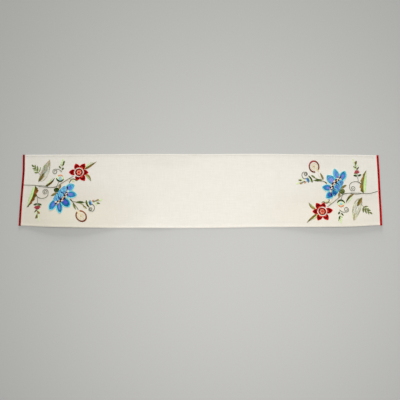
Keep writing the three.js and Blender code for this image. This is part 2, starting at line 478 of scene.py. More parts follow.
def ripple(x, y):
    """Faint unevenness of laid cloth: a few long sine waves that cross, kept at or over zero."""
    rng = np.random.default_rng(7)
    total = np.zeros(np.broadcast(x, y).shape)
    for wave_length in RIPPLE_WAVES:
        angle, start = rng.uniform(0, np.pi), rng.uniform(0, 2 * np.pi)
        total = total + np.sin((x * np.cos(angle) + y * np.sin(angle)) * 2 * np.pi / wave_length + start)
    return RIPPLE * (0.5 + total / (2 * len(RIPPLE_WAVES)))


def underside(x, y):
    """Height of the linen's lower face in mm: waves, the step up onto the binding's lower leaf, the hollow
    beside a hem, and the ripple in the open cloth."""
    near, far = near_edge(x), far_edge(x)
    across = np.clip((y - near) / (far - near), 0, 1)
    inward = np.minimum(y - near, far - y)
    from_end = np.minimum(x - left_end(across), right_end(across) - x)
    step = (TAPE + SEWING_GAP) * (1 - ramp(from_end, TAPE_WIDTH, TAPE_WIDTH + DROP_RUN))
    rise = HOLLOW * ramp(inward, HEM_WIDTH, HEM_WIDTH + HEM_FALL)
    hollow = rise * (1 - ramp(inward, HEM_WIDTH + HOLLOW_RUN[0], HEM_WIDTH + HOLLOW_RUN[1]))
    open_cloth = ramp(inward, HEM_WIDTH, RIPPLE_FROM_SIDE) * ramp(from_end, *RIPPLE_FROM_END)
    return wave_lift(x, y) + step + hollow + ripple(x, y) * open_cloth


def linen_top(x, y):
    """Height of the linen's upper face in mm."""
    inward = np.minimum(y - near_edge(x), far_edge(x) - y)
    return underside(x, y) + cloth_thickness(inward)


print("height of the linen in its middle, in mm:", round(float(linen_top(0.0, 0.0)), 2))

# %% Lines of the panel's grid
END_LINES = np.array([0, 0.4, 1.0, 3.0, 5.0, 6.6, 8, 10, 12, 14.5, 17, 20, 24])
SIDE_LINES = np.array([0, 0.12, 0.45, 0.95, 2.2, 4.6, 6.2, 7.0, 7.5, 8.0, 8.5, 9.5, 11, 13])
HEM_ZONE = SIDE_LINES[-1]       # width of the finely divided strip along each side
LINES_ALONG = 310
LINES_ACROSS = 74


def panel_stations():
    """Shares of the length and, across, fixed distances plus shares of the open cloth between the hem
    zones."""
    near_end = END_LINES / LENGTH
    middle = np.linspace(near_end[-1], 1 - near_end[-1], LINES_ALONG)[1:-1]
    along = np.concatenate([near_end, middle, 1 - near_end[::-1]])
    field = np.linspace(0, 1, LINES_ACROSS)[1:-1]
    fixed = np.concatenate([SIDE_LINES, np.full(field.size, HEM_ZONE), 2 * HEM_ZONE - SIDE_LINES[::-1]])
    share = np.concatenate([np.zeros(SIDE_LINES.size), field, np.ones(SIDE_LINES.size)])
    return along, fixed, share


def linen_faces():
    """Points of the panel's upper and lower face. Near a folded edge both faces close in on the fold's
    middle along a half circle; at the raw ends inside the tapes they simply meet."""
    along, fixed, share = panel_stations()
    nominal = ((along - 0.5) * LENGTH)[:, None]
    width = far_edge(nominal) - near_edge(nominal)
    distance = fixed + share * (width - 2 * HEM_ZONE)
    across = distance / width
    start = left_end(across) + TONGUE_INSET
    stop = right_end(across) - TONGUE_INSET
    x = start + (stop - start) * along[:, None]
    y = near_edge(nominal) + distance
    inward = np.minimum(distance, width - distance)
    thickness = cloth_thickness(inward)
    middle = underside(x, y) + thickness / 2
    fold = np.sqrt(np.clip(1 - (1 - np.clip(inward / (HEM / 2), 0, 1)) ** 2, 0, 1))
    raw = np.minimum(np.arange(along.size), np.arange(along.size)[::-1])[:, None] > 0
    half = thickness / 2 * fold * raw
    return np.stack([x, y, middle + half], -1), np.stack([x, y, middle - half], -1)


def glue_faces(upper, lower):
    """A closed cloth from two grids of points that share their border points."""
    rows, columns = upper.shape[:2]
    top = np.arange(rows * columns).reshape(rows, columns)
    bottom = top.copy()
    inner = rows - 2, columns - 2
    bottom[1:-1, 1:-1] = rows * columns + np.arange(inner[0] * inner[1]).reshape(inner)
    places = np.concatenate([upper.reshape(-1, 3), lower[1:-1, 1:-1].reshape(-1, 3)])
    return places, np.concatenate([grid_quads(top), grid_quads(bottom)[:, ::-1]])


upper_face, lower_face = linen_faces()
cloth_places, cloth_quads = glue_faces(upper_face, lower_face)
panel = add_piece("linen_cloth", cloth_places, cloth_quads, LINEN)
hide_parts("linen_panel")
print("linen:", len(cloth_quads) * 2, "triangles,", np.round(np.ptp(cloth_places, axis=0), 1), "mm")

# %% [markdown]
# A painted or baked copy of the cloth needs room for its streaks, so the upper face is laid out as two
# strips, each half the runner long, one over the other, and the lower face is squeezed into what is left of
# the square.

# %% Layout of the panel's surface
LAYOUT_RIM = 0.005              # empty rim of the square
LAYOUT_SPAN = 0.99              # what is left of it between two rims
UPPER_STRIP = 0.42              # height of each strip of the upper face
SECOND_STRIP = 0.435            # where the right half's strip starts
LOWER_START, LOWER_STRIP = 0.865, 0.13
LAYOUT_MARGIN = 2               # added to the runner's half length
LAYOUT_HALF_WIDTH = 191


def panel_layout(upper):
    """UV corners: the left and right halves of the upper face are two strips, one over the other, and
    the lower face is a third, lower one."""
    rows, columns = upper.shape[:2]
    along = np.linspace(0, 1, rows)
    cells = np.stack(np.meshgrid(np.arange(rows - 1), np.arange(columns - 1), indexing="ij"), -1)
    cells = cells.reshape(-1, 1, 2)
    steps = np.array([(0, 0), (1, 0), (1, 1), (0, 1)])
    corner = cells + steps
    u = (upper[..., 0] + HALF + LAYOUT_MARGIN) / (LENGTH + 2 * LAYOUT_MARGIN)
    v = (upper[..., 1] + LAYOUT_HALF_WIDTH) / (2 * LAYOUT_HALF_WIDTH)
    u, v = u[corner[..., 0], corner[..., 1]], v[corner[..., 0], corner[..., 1]]
    right_half = along[cells[..., 0]] >= 0.5
    top = np.stack([LAYOUT_RIM + LAYOUT_SPAN * np.where(right_half, u * 2 - 1, u * 2),
                    np.where(right_half, SECOND_STRIP, LAYOUT_RIM) + UPPER_STRIP * v], -1)
    below = np.stack([LAYOUT_RIM + LAYOUT_SPAN * u, LOWER_START + LOWER_STRIP * v], -1)[:, ::-1]
    return np.concatenate([top, below])


layout = panel_layout(upper_face)
add_uv(panel, "OFBake", layout)
print("layout runs from", np.round(layout.min((0, 1)), 3), "to", np.round(layout.max((0, 1)), 3))

# %% [markdown]
# ## The red bindings
#
# Each short end is wrapped in a dark red woven tape, folded along its middle so that one leaf lies on top
# and one below. Its shape is one line carried across the runner: out along the lower leaf, round the nose,
# and back along the upper leaf. The line swells where it goes over the thicker hems. Grosgrain ribs are
# bump, and the left tape is painted darker than the right as painted shade.

# %% Tape material
# painted shade: the left tape's red is darker than the right one's
LEFT_RED_PAINTED_SHADE, RIGHT_RED, RED_SHADE = colour(152, 0, 2), colour(184, 0, 1), colour(96, 0, 3)


def make_tape():
    """Red, painted darker on the left tape as painted shade, parted at the runner's middle, with darker
    streaks and close ribs as bump.
    """
    material, tree, shader = new_material("dark_red_tape", roughness=0.8, sheen=0.0, gloss=0.05)
    place = add_node(tree, "ShaderNodeTexCoord").outputs["Object"]
    weave = add_node(tree, "ShaderNodeGroup", {"node_tree": PLAIN_WEAVE}, Vector=place,
                     Warp_Pitch=0.0005, Weft_Pitch=0.0011)
    slub = add_node(tree, "ShaderNodeGroup", {"node_tree": SLUBS}, Vector=place, Fineness=260.0, Stretch=3.0)
    along = add_node(tree, "ShaderNodeSeparateXYZ", Vector=place).outputs["X"]
    end_red_with_painted_shade = blend_colours(tree, maths(tree, "GREATER_THAN", along, 0.0), LEFT_RED_PAINTED_SHADE, RIGHT_RED)
    shade = maths(tree, "MULTIPLY_ADD", slub.outputs["Streaks"], 0.9, 0.2)
    tone = blend_colours(tree, shade, end_red_with_painted_shade, RED_SHADE)
    tree.links.new(tone, shader.inputs["Base Color"])
    bump = add_node(tree, "ShaderNodeBump", Height=weave.outputs["Height"], Strength=0.6, Distance=0.0002)
    tree.links.new(bump.outputs[0], shader.inputs["Normal"])
    return material


TAPE_RED = make_tape()
print("tape:", len(TAPE_RED.node_tree.nodes), "shader nodes")

# %% Folded tape
TAPE_NOSE = 1.8                 # length of the rounded fold
TAPE_OVERHANG = 0.8             # how far the tape reaches past each long side
TAPE_EDGE = 0.25                # rounding of the leaves' inner edges
TAPE_CORNER = 12.0              # finely divided stretch at each side
LEAF_LINES, NOSE_LINES, CORNER_LINES, MIDDLE_LINES = 6, 13, 30, 90
BOTH_ENDS = "left", "right"


def tape_line(height):
    """The tape's outer and inner line in a section: distances from the runner's end, and heights for each
    cloth thickness. The nose is half an ellipse as high as the whole fold."""
    leaf = np.linspace(TAPE_WIDTH - TAPE_EDGE, TAPE_NOSE, LEAF_LINES)
    angle = np.linspace(0, np.pi, NOSE_LINES)[1:-1]
    level = height[:, None] / 2

    def line(nose, half):
        """Along the lower leaf, round the nose and back along the upper leaf."""
        rise = -half * np.cos(angle)
        low, high = -half * np.ones(leaf.size), half * np.ones(leaf.size)
        return (np.concatenate([leaf, TAPE_NOSE - nose * np.sin(angle), leaf[::-1]]),
                np.concatenate([low, rise, high], 1))

    out_place, out_height = line(TAPE_NOSE, level)
    in_place, in_height = line(TAPE_NOSE - TAPE, level - TAPE)
    lip = np.full((height.size, 1), TAPE_EDGE)
    edge = [TAPE_WIDTH]
    places = np.concatenate([edge, out_place, edge, edge, in_place[::-1], edge])
    heights = np.concatenate([-level + lip, out_height, level - lip,
                              level - TAPE + lip / 2, in_height[:, ::-1], -level + TAPE - lip / 2], 1)
    return places, heights + level


def folded_tape(end):
    """Points (stations across the runner, places round the section) of one binding."""
    nominal = -HALF if end == "left" else HALF
    near, far = float(near_edge(nominal)), float(far_edge(nominal))
    corner = np.linspace(-TAPE_OVERHANG, TAPE_CORNER, CORNER_LINES)
    middle = np.linspace(TAPE_CORNER, far - near - TAPE_CORNER, MIDDLE_LINES)[1:-1]
    distance = np.concatenate([corner, middle, far - near - corner[::-1]])
    inside = np.clip(distance, 0, far - near)
    across = inside / (far - near)
    inward = np.minimum(inside, far - near - inside)
    from_end, heights = tape_line(cloth_thickness(inward) + 2 * (TAPE + SEWING_GAP))
    place = left_end(across)[:, None] + from_end if end == "left" else right_end(across)[:, None] - from_end
    y = np.broadcast_to((near + distance)[:, None], heights.shape)
    return np.stack([place, y, wave_lift(place, np.clip(y, near, far)) + heights], -1)


def close_ring(rows, ring):
    """Quads round a ring carried along rows, with both ends closed across the tape's thickness."""
    numbers = np.arange(rows * ring).reshape(rows, ring)
    around = grid_quads(np.concatenate([numbers, numbers[:, :1]], 1))
    half = ring // 2
    i = np.arange(half - 1)
    cap = np.stack([i, i + 1, ring - 2 - i, ring - 1 - i], -1)
    return np.concatenate([around, cap, (cap + (rows - 1) * ring)[:, ::-1]])


def length_of(line):
    """Length of a line of points: the sum of its steps."""
    return float(np.linalg.norm(np.diff(line, axis=0), axis=1).sum())


for end in BOTH_ENDS:
    places = folded_tape(end)
    quads = close_ring(*places.shape[:2])
    if end == "right":
        quads = quads[:, ::-1]
    tape = add_piece(f"{end}_tape", places.reshape(-1, 3), quads, TAPE_RED)
    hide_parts(f"binding_{end}")
    outer_line = places[len(places) // 2, :places.shape[1] // 2]
    print(end, "tape:", len(quads) * 2, "triangles, developed width", round(length_of(outer_line), 1), "mm")

# %% [markdown]
# ## Stitches as arrays
#
# Everything on the linen is a stitch: a short thread that comes up through the cloth, lies over it and goes
# down again. One stitch is a six-sided tube of four rings: two lie on the cloth, and one at each end dives
# under its face. A motif is only a table of stitches, a row for each with its two ends, its breadth, how
# high it lies and its dye, and the whole table becomes one mesh in a single array step. Short tables at the
# motifs say where they grow, and small formulas fill them with thread, as a stitcher does.

# %% The stitch
YARN = 1.15                     # breadth of a laid crewel yarn in mm
YARN_FLAT = 0.62                # its height as a share of its breadth
DIVE = 0.2                      # how far under the cloth's face the ends lie
SIDES_ROUND = 6
RINGS = 4
RING_GIRTH = np.array([0.5, 1, 1, 0.5])
RING_SHARE = np.array([0.05, 0.3, 0.7, 0.95])         # where the twist of the plies reads each ring
DIVE_RUN = 0.8                  # the bend at each end in breadths of the yarn,
DIVE_LIMITS = 0.12, 0.34        # kept between these shares of the stitch
DYE_CHANGE = 0.12               # how much lighter or darker a stitch may be
hand = np.random.default_rng(21)                      # the stitcher's small unevenness


def laid(begin, finish, breadth, dyes, lift=0.0):
    """A table of stitches: both ends (u, v), breadth, lift and linear dye, each dye a little uneven."""
    begin, finish = np.atleast_2d(begin), np.atleast_2d(finish)
    count = len(begin)
    shade = 1 + hand.uniform(-DYE_CHANGE, DYE_CHANGE, (count, 1))
    return np.column_stack([begin, finish, np.broadcast_to(breadth, count), np.broadcast_to(lift, count),
                            np.clip(np.broadcast_to(dyes, (count, 3)) * shade, 0, 1)])


def stitch_quads():
    """Quads of one stitch and, for each corner, its share along the thread and round it."""
    rings, ring = np.divmod(np.arange((RINGS - 1) * SIDES_ROUND), SIDES_ROUND)
    r0, r1 = rings * SIDES_ROUND, (rings + 1) * SIDES_ROUND
    after = (ring + 1) % SIDES_ROUND
    sides = np.stack([r0 + ring, r0 + after, r1 + after, r1 + ring], -1)
    share = RING_SHARE[np.stack([rings, rings, rings + 1, rings + 1], -1)]
    turn = np.stack([ring, ring + 1, ring + 1, ring], -1) / SIDES_ROUND
    last = (RINGS - 1) * SIDES_ROUND
    caps = np.array([(3, 2, 1, 0), (5, 4, 3, 0), (last, last + 1, last + 2, last + 3),
                     (last, last + 3, last + 4, last + 5)])
    cap_share = np.array([(0, 0.04, 0.04, 0), (0, 0.04, 0.04, 0), (1, 0.96, 0.96, 1), (1, 0.96, 0.96, 1)])
    cap_turn = np.array([(0.1, 0.1, 0.4, 0.4), (0.6, 0.6, 0.9, 0.9)] * 2)
    corners = np.stack([np.concatenate([share, cap_share]), np.concatenate([turn, cap_turn])], -1)
    return np.concatenate([sides, caps]), corners


STITCH_QUADS, STITCH_CORNERS = stitch_quads()


def stitch_places(work, to_runner):
    """Points of all stitches: rings of six points round a line that goes straight from end to end in plan.
    The two middle rings rest on the linen's upper face, and the stitch bends down over about its breadth."""
    begin, finish = to_runner(work[:, 0:2]), to_runner(work[:, 2:4])
    breadth, lift = work[:, 4, None], work[:, 5, None]
    run = finish - begin
    length = np.maximum(np.linalg.norm(run, axis=1, keepdims=True), 1e-6)
    dive = np.clip(DIVE_RUN * breadth / length, *DIVE_LIMITS)
    share = np.concatenate([0 * dive, dive, 1 - dive, 1 + 0 * dive], 1)
    line = begin[:, None] + run[:, None] * share[..., None]
    side = (np.stack([-run[:, 1], run[:, 0]], -1) / length)[:, None, None]
    girth = breadth / 2 * RING_GIRTH
    lying = RING_GIRTH == 1
    half_height = np.where(lying, girth * YARN_FLAT, np.minimum(girth * YARN_FLAT, DIVE))
    height = linen_top(line[..., 0], line[..., 1]) + np.where(lying, lift + half_height, -DIVE)
    angle = 2 * np.pi * np.arange(SIDES_ROUND) / SIDES_ROUND
    plan = line[:, :, None] + side * (girth[..., None] * np.cos(angle))[..., None]
    up = height[..., None] + half_height[..., None] * np.sin(angle)
    return np.concatenate([plan, up[..., None]], -1)


print("one stitch:", RINGS * SIDES_ROUND, "points and", 2 * len(STITCH_QUADS), "triangles")

# %% Sewing a table of stitches
CELL_RIM, CELL_SPAN = 0.08, 0.84      # a stitch's part of its cell in the layout


def sew(name, work, to_runner, material):
    """One piece from a table of stitches, with its dyes, its thread coordinates and a layout in which each
    stitch has a small cell of its own."""
    places = stitch_places(work, to_runner)
    count, size = len(work), RINGS * SIDES_ROUND
    quads = (STITCH_QUADS + np.arange(count)[:, None, None] * size).reshape(-1, 4)
    piece = add_piece(name, places.reshape(-1, 3), quads, material)
    dyes = piece.data.attributes.new("dye", "FLOAT_COLOR", "POINT")
    rgba = np.concatenate([work[:, 6:9], np.ones((count, 1))], 1)
    dyes.data.foreach_set("color", np.repeat(rgba, size, 0).astype(np.float32).ravel())
    length = np.linalg.norm(work[:, 2:4] - work[:, 0:2], axis=1)[:, None, None]
    thread = np.stack(np.broadcast_arrays(STITCH_CORNERS[..., 0] * length, STITCH_CORNERS[None, ..., 1]), -1)
    add_uv(piece, "thread", thread.reshape(-1, 2))
    columns = max(1, round(math.sqrt(count / 2)))
    rows = math.ceil(count / columns)
    cell = np.stack([np.arange(count) % columns, np.arange(count) // columns], -1)[:, None, None]
    inside = cell + CELL_RIM + CELL_SPAN * STITCH_CORNERS[None]
    add_uv(piece, "OFBake", (inside / (columns, rows)).reshape(-1, 2))
    return piece

# %% [markdown]
# Wool crewel yarn is two soft plies with a gentle sheen, and sewing thread is finer and tighter. Both
# materials read the dye that each stitch carries, darken it with painted shade in the groove between the
# plies, and mottle it a little.

# %% Yarn materials
GROOVE_PAINTED_SHADE, FUZZ_SHADE = (0.25, 0.22, 0.2, 1), (0.6, 0.58, 0.56, 1)


def make_yarn(name, roughness, sheen, gloss, turns, depth):
    """A yarn in the stitches' own dyes. Turns is the twist per millimetre, and depth the height of the
    plies in metres."""
    material, tree, shader = new_material(name, roughness, sheen, gloss)
    dyed = add_node(tree, "ShaderNodeAttribute", {"attribute_name": "dye"}).outputs["Color"]
    thread = add_node(tree, "ShaderNodeUVMap", {"uv_map": "thread"}).outputs["UV"]
    twist = add_node(tree, "ShaderNodeGroup", {"node_tree": PLY_TWIST}, Along_and_Round=thread,
                     Turns=turns, Plies=2.0)
    place = add_node(tree, "ShaderNodeTexCoord").outputs["Object"]
    fuzz = add_node(tree, "ShaderNodeTexNoise", Vector=place, Scale=700.0, Detail=2.0).outputs["Fac"]
    # painted shade: the dye is darkened in the groove between the plies
    groove = maths(tree, "MULTIPLY", twist.outputs["Groove"], 0.45)
    shadowed = blend_colours(tree, groove, dyed, GROOVE_PAINTED_SHADE, "MULTIPLY")
    mottled = blend_colours(tree, maths(tree, "MULTIPLY", fuzz, 0.3), shadowed, FUZZ_SHADE, "MULTIPLY")
    tree.links.new(mottled, shader.inputs["Base Color"])
    bump = add_node(tree, "ShaderNodeBump", Height=twist.outputs["Height"], Strength=0.7, Distance=depth)
    tree.links.new(bump.outputs[0], shader.inputs["Normal"])
    return material


CREWEL_YARN = make_yarn("crewel_yarn", roughness=0.85, sheen=0.02, gloss=0.06, turns=0.42, depth=0.00022)
SEWING_THREAD = make_yarn("sewing_thread", roughness=0.5, sheen=0.1, gloss=0.15, turns=1.3, depth=0.00008)
print("materials:", [material.name for material in bpy.data.materials])

# %% [markdown]
# ## Hem and tape stitches
#
# The hems are held by a row of small running stitches near their inner edge, in natural thread. The tapes
# are stitched through both leaves close to their inner edge, in red. These stitches lie in the runner's own
# coordinates, so their tables need no turning.

# %% Running stitches
def in_place(points):
    """Points that are given in the runner's own coordinates stay where they are."""
    return points


def along_line(line, distance):
    """Places on a dense line at distances from its start."""
    travelled = np.concatenate([[0], np.cumsum(np.linalg.norm(np.diff(line, axis=0), axis=1))])
    return np.stack([np.interp(distance, travelled, line[:, axis]) for axis in (0, 1)], -1)


def running_stitches(line, stitch, gap, breadth, dyes, lift=0.0):
    """Stitches with gaps between them along a dense line of points."""
    starts = np.arange(gap, length_of(line) - stitch, stitch + gap)
    return laid(along_line(line, starts), along_line(line, starts + stitch), breadth, dyes, lift)

# %% Hem stitches
SEAM_INSET = 5.6                # from the folded edge to the row of hem stitches
SEAM_START = 12.0               # from the runner's end to the first one
HEM_THREAD = {"stitch": 2.3, "gap": 0.9, "breadth": 0.45, "dyes": dye(226, 219, 200), "lift": -0.05}

along_side = np.linspace(-HALF + SEAM_START, HALF - SEAM_START, 800)
hem_rows = {"near": np.stack([along_side, near_edge(along_side) + SEAM_INSET], -1),
            "far": np.stack([along_side, far_edge(along_side) - SEAM_INSET], -1)}
hem_stitches = [sew(f"{side}_hem_stitches", running_stitches(line, **HEM_THREAD), in_place, SEWING_THREAD) for side, line in hem_rows.items()]
print("hem stitches:", sum(len(piece.data.polygons) for piece in hem_stitches) // len(STITCH_QUADS))

# %% Tape stitches
TAPE_SEAM = 1.5                 # from the tape's inner edge to its row of stitches
TAPE_THREAD = {"stitch": 2.4, "gap": 1.1, "breadth": 0.5, "dyes": dye(150, 10, 14),
               "lift": SEWING_GAP + TAPE}

for end in BOTH_ENDS:
    share = np.linspace(0.004, 0.996, 300)
    nominal = -HALF if end == "left" else HALF
    y = near_edge(nominal) + share * (far_edge(nominal) - near_edge(nominal))
    inset = TAPE_WIDTH - TAPE_SEAM
    x = left_end(share) + inset if end == "left" else right_end(share) - inset
    work = running_stitches(np.stack([x, y], -1), **TAPE_THREAD)
    sew(f"{end}_tape_stitches", work, in_place, SEWING_THREAD)

# %% [markdown]
# ## Ways of filling a shape with thread
#
# Crewel work has a few ways of laying yarn, and each is one small function. Long-and-short stitch runs
# along a petal in staggered rows, so that colours shade into each other from the edge inwards. Satin stitch
# goes straight from a leaf's vein to its edge. Stem stitch makes lines, each stitch starting beside the
# middle of the last. Knots are dots.

# %% Curves to stitch along
def bow(foot, tip, bend, share):
    """Places and left-hand normals on a curve from foot to tip: a parabola whose middle is pushed to the
    left by bend times half the distance."""
    foot, tip = np.asarray(foot, float), np.asarray(tip, float)
    run = tip - foot
    middle = (foot + tip) / 2 + np.array([-run[1], run[0]]) * bend
    s = np.asarray(share, float)[..., None]
    place = foot * (1 - s) ** 2 + middle * 2 * s * (1 - s) + tip * s ** 2
    heading = (middle - foot) * (1 - s) + (tip - middle) * s
    heading = heading / np.linalg.norm(heading, axis=-1, keepdims=True)
    return place, np.stack([-heading[..., 1], heading[..., 0]], -1)


def outline(share, belly, point, base):
    """Half-breadth of a petal or leaf: sin(pi s^k)^point, which is widest at the belly, on top of a base
    that fades out as (1 - s)^2."""
    k = math.log(0.5) / math.log(belly)
    swell = np.clip(np.sin(np.pi * np.clip(share, 0, 1) ** k), 0, 1) ** point
    foot = base * (1 - share) ** 2
    return foot + (1 - foot) * swell


def arc(foot, tip, bend=0.0, count=7):
    """Places along a bow from foot to tip."""
    return bow(foot, tip, bend, np.linspace(0, 1, count))[0]


def oval(centre, wide, tall, start, finish, count=9):
    """Places on a stretch of an oval, between two angles in degrees: centre + (wide cos a, tall sin a)."""
    angle = np.radians(np.linspace(start, finish, count))
    return np.asarray(centre) + np.stack([wide * np.cos(angle), tall * np.sin(angle)], -1)


def edge_of(foot, tip, reach_out, belly=0.45, point=0.8, bend=0.0, base=0.0, count=11):
    """Places along one edge of a leaf or petal, from near its foot to its tip: reach_out times the
    outline, to the left of the vein where it is positive."""
    share = np.linspace(0.03, 1, count)
    place, normal = bow(foot, tip, bend, share)
    return place + normal * (reach_out * outline(share, belly, point, base))[:, None]


def smooth_line(points, dense=24):
    """A smooth dense line through a few places."""
    points = np.asarray(points, float)
    rows = np.arange(len(points))
    at = np.linspace(0, len(points) - 1, dense * (len(points) - 1) + 1)
    return np.stack([through(rows, points[:, 0], at), through(rows, points[:, 1], at)], -1)


def coil(centre, outer, inner, start, turns):
    """A spiral whose radius shrinks evenly from outer to inner; start is its first angle in degrees."""
    share = np.linspace(0, 1, max(8, round(abs(turns) * 12)))
    angle = np.radians(start) + 2 * np.pi * turns * share
    radius = outer + (inner - outer) * share
    return np.asarray(centre) + radius[:, None] * np.stack([np.cos(angle), np.sin(angle)], -1)


def left_of(line):
    """Left-hand normals along a dense line."""
    heading = np.gradient(line, axis=0)
    heading = heading / np.linalg.norm(heading, axis=1, keepdims=True)
    return np.stack([-heading[:, 1], heading[:, 0]], -1)


print("a coil of two turns from 10 to 4 mm is", round(length_of(coil((0, 0), 10, 4, 0, 2))), "mm long")

# %% Stem stitch, satin stitch and knots
STEM_STEP = 0.55                # where the next stem stitch starts, as a share of a stitch
STEM_SLANT = 0.2                # how far its ends lie aside, as a share of its breadth
KNOT_FLAT = 0.3                 # a knot's reach across, as a share of its reach along
KNOT_BREADTH = 2.1              # and its breadth in radii
SKEIN_MIX = 0.33                # how far neighbouring skeins mix in a graded filling


def stem(points, dyes, breadth=1.8, stitch=5.0, lift=0.0):
    """Stem stitch along a line: stitches overlap by nearly half and cross the line at a slight slant."""
    line = smooth_line(points)
    starts = np.arange(0, max(length_of(line) - stitch * 0.5, 0.1), stitch * STEM_STEP)
    begin, finish = along_line(line, starts), along_line(line, starts + stitch)
    run = finish - begin
    length = np.maximum(np.linalg.norm(run, axis=1, keepdims=True), 1e-6)
    aside = np.stack([-run[:, 1], run[:, 0]], -1) / length * breadth * STEM_SLANT
    return laid(begin + aside, finish - aside, breadth, dyes, lift)


def satin(begin, finish, dyes, lift=0.0):
    """Satin stitch: one laid yarn from each begin to its finish."""
    return laid(begin, finish, YARN, dyes, lift)


def knots(centres, radius, dyes, lift=0.3):
    """French knots: stitches as long as they are broad, which the bend at both ends makes into beads."""
    centres = np.atleast_2d(np.asarray(centres, float))
    reach = np.array([radius, radius * KNOT_FLAT])
    return laid(centres - reach, centres + reach, KNOT_BREADTH * radius, dyes, lift)


def taking_turns(dyes, count, each):
    """A dye for every stitch, from a short list that takes turns, each for a few stitches."""
    return np.array(dyes)[(np.arange(count) // each) % len(dyes)]


def graded(dyes, count):
    """A dye for every stitch, from a short list that shades from one to the next: the place in the list
    wanders by up to a third, so that neighbours mix as yarns from two skeins do."""
    place = np.linspace(0, len(dyes) - 1, count) + hand.uniform(-SKEIN_MIX, SKEIN_MIX, count)
    rows = np.arange(len(dyes))
    return np.stack([np.interp(place, rows, np.array(dyes)[:, i]) for i in range(3)], -1)


print("stem stitches of 5 mm start every", 5 * STEM_STEP, "mm")

# %% Long-and-short stitch
JOIN_CHANGE = 0.14              # how unevenly the joins are staggered, as a share of a stitch
SHORTEST = 0.2                  # shorter pieces than this share of a stitch are left out
OVERLAP_BEFORE = 0.6            # how far a stitch runs into the one before it, in mm,
OVERLAP_AFTER = 0.9             # and into the one after it
EDGE_CHANGE = 0.7               # how far a change of wool may wander, in mm
PETAL_PITCH = 0.9 * YARN        # spacing of a petal's columns at its broadest
THREAD_SWELL = 1.35             # a petal's thread is broader than its column by this factor,
THREAD_LIMITS = 0.6 * YARN, 1.3 * YARN                # but stays between these breadths


def staggered(columns, length, stitch):
    """Where the stitches of long-and-short filling lie: the column's place across from -1 to 1, and the
    shares of the length at which each stitch begins and ends. Joins are staggered and overlap a little."""
    across = (np.arange(columns) + 0.5) / columns * 2 - 1
    steps = max(2, round(length / stitch))
    stagger = (np.arange(columns) % 2) * 0.5 + hand.uniform(-JOIN_CHANGE, JOIN_CHANGE, columns)
    cuts = np.clip((np.arange(steps + 2) - stagger[:, None]) / steps, 0, 1)
    begin, finish = cuts[:, :-1], cuts[:, 1:]
    kept = finish - begin > SHORTEST / steps
    across = np.broadcast_to(across[:, None], kept.shape)[kept]
    begin = np.maximum(begin[kept] - OVERLAP_BEFORE / length, 0)
    finish = np.minimum(finish[kept] + OVERLAP_AFTER / length, 1)
    return across, begin, finish


def shades(distance, bands):
    """The dye for each distance in from an edge: bands are (up to this distance, dye)."""
    limits = np.array([limit for limit, _ in bands[:-1]])
    table = np.array([band_dye for _, band_dye in bands])
    return table[np.searchsorted(limits, distance)]


def petal(foot, tip, breadth, left, right=None, belly=0.45, point=0.6, base=0.6, bend=0.0, stitch=7.0,
          lift=0.0, tip_weight=0.6):
    """Columns of thread fan from foot to tip at constant shares of the half-breadth. The dye follows the
    distance to the edge, by one table of bands on each side. Tip_weight under 1 stretches the bands at
    the tip."""
    length = float(np.hypot(*np.subtract(tip, foot)))
    columns = max(3, round(breadth / PETAL_PITCH))
    across, begin, finish = staggered(columns, length, stitch)

    def at(share):
        """Places at shares of the length, each in its own column."""
        place, normal = bow(foot, tip, bend, share)
        half = breadth / 2 * outline(share, belly, point, base)
        return place + normal * (across * half)[:, None]

    middle = (begin + finish) / 2
    half = breadth / 2 * outline(middle, belly, point, base)
    to_edge = np.minimum((1 - np.abs(across)) * half, (1 - middle) * length * tip_weight)
    to_edge = to_edge + hand.uniform(-EDGE_CHANGE, EDGE_CHANGE, len(middle))
    dyes = np.where((across > 0)[:, None], shades(to_edge, left), shades(to_edge, right or left))
    thread = np.clip(half * 2 / columns * THREAD_SWELL, *THREAD_LIMITS)
    return laid(at(begin), at(finish), thread, dyes, lift)


print("a petal 30 mm broad has", round(30 / PETAL_PITCH), "columns of thread")

# %% Satin leaves
SATIN_PITCH = YARN * 0.92       # satin stitches lie a little closer than they are broad
LEAF_SPAN = 0.02, 0.96          # stretch of the vein from which stitches start, in shares
VEIN_OVERLAP = 0.1              # how far they reach over the vein, in mm
TOOTH = 0.24                    # how far teeth reach past the edge and back, as a share of the half-leaf
SHORTEST_SATIN = 0.4            # in mm
VEIN_BREADTH, VEIN_STITCH, VEIN_LIFT = 1.3, 4.5, 0.2


def half_leaf(foot, tip, reach_out, dyes, belly=0.45, point=0.8, bend=0.0, slant=0.16, teeth=0, every=1.0,
              lift=0.0, foot_share=0.0):
    """Satin stitch from a leaf's vein to one edge, slanting forward: the left edge where reach_out is
    positive and the right one where it is negative. The dyes shade from foot to tip. Teeth cut the edge
    into that many steps. With every over 1 the stitches lie further apart, so that linen shows between
    them."""
    length = float(np.hypot(*np.subtract(tip, foot)))
    share = np.arange(*LEAF_SPAN, SATIN_PITCH * every / length)
    reach = np.clip(share + slant * (1 - share), 0, 1)
    half = abs(reach_out) * outline(reach, belly, point, foot_share)
    if teeth:
        half = half * (1 + TOOTH * (1 - 2 * ((reach * teeth) % 1.0)))
    inner, inner_normal = bow(foot, tip, bend, share)
    outer, outer_normal = bow(foot, tip, bend, reach)
    side = math.copysign(1, reach_out)
    kept = half > SHORTEST_SATIN
    begin = inner - side * VEIN_OVERLAP * inner_normal
    finish = outer + side * half[:, None] * outer_normal
    return satin(begin[kept], finish[kept], graded(dyes, kept.size)[kept], lift=lift)


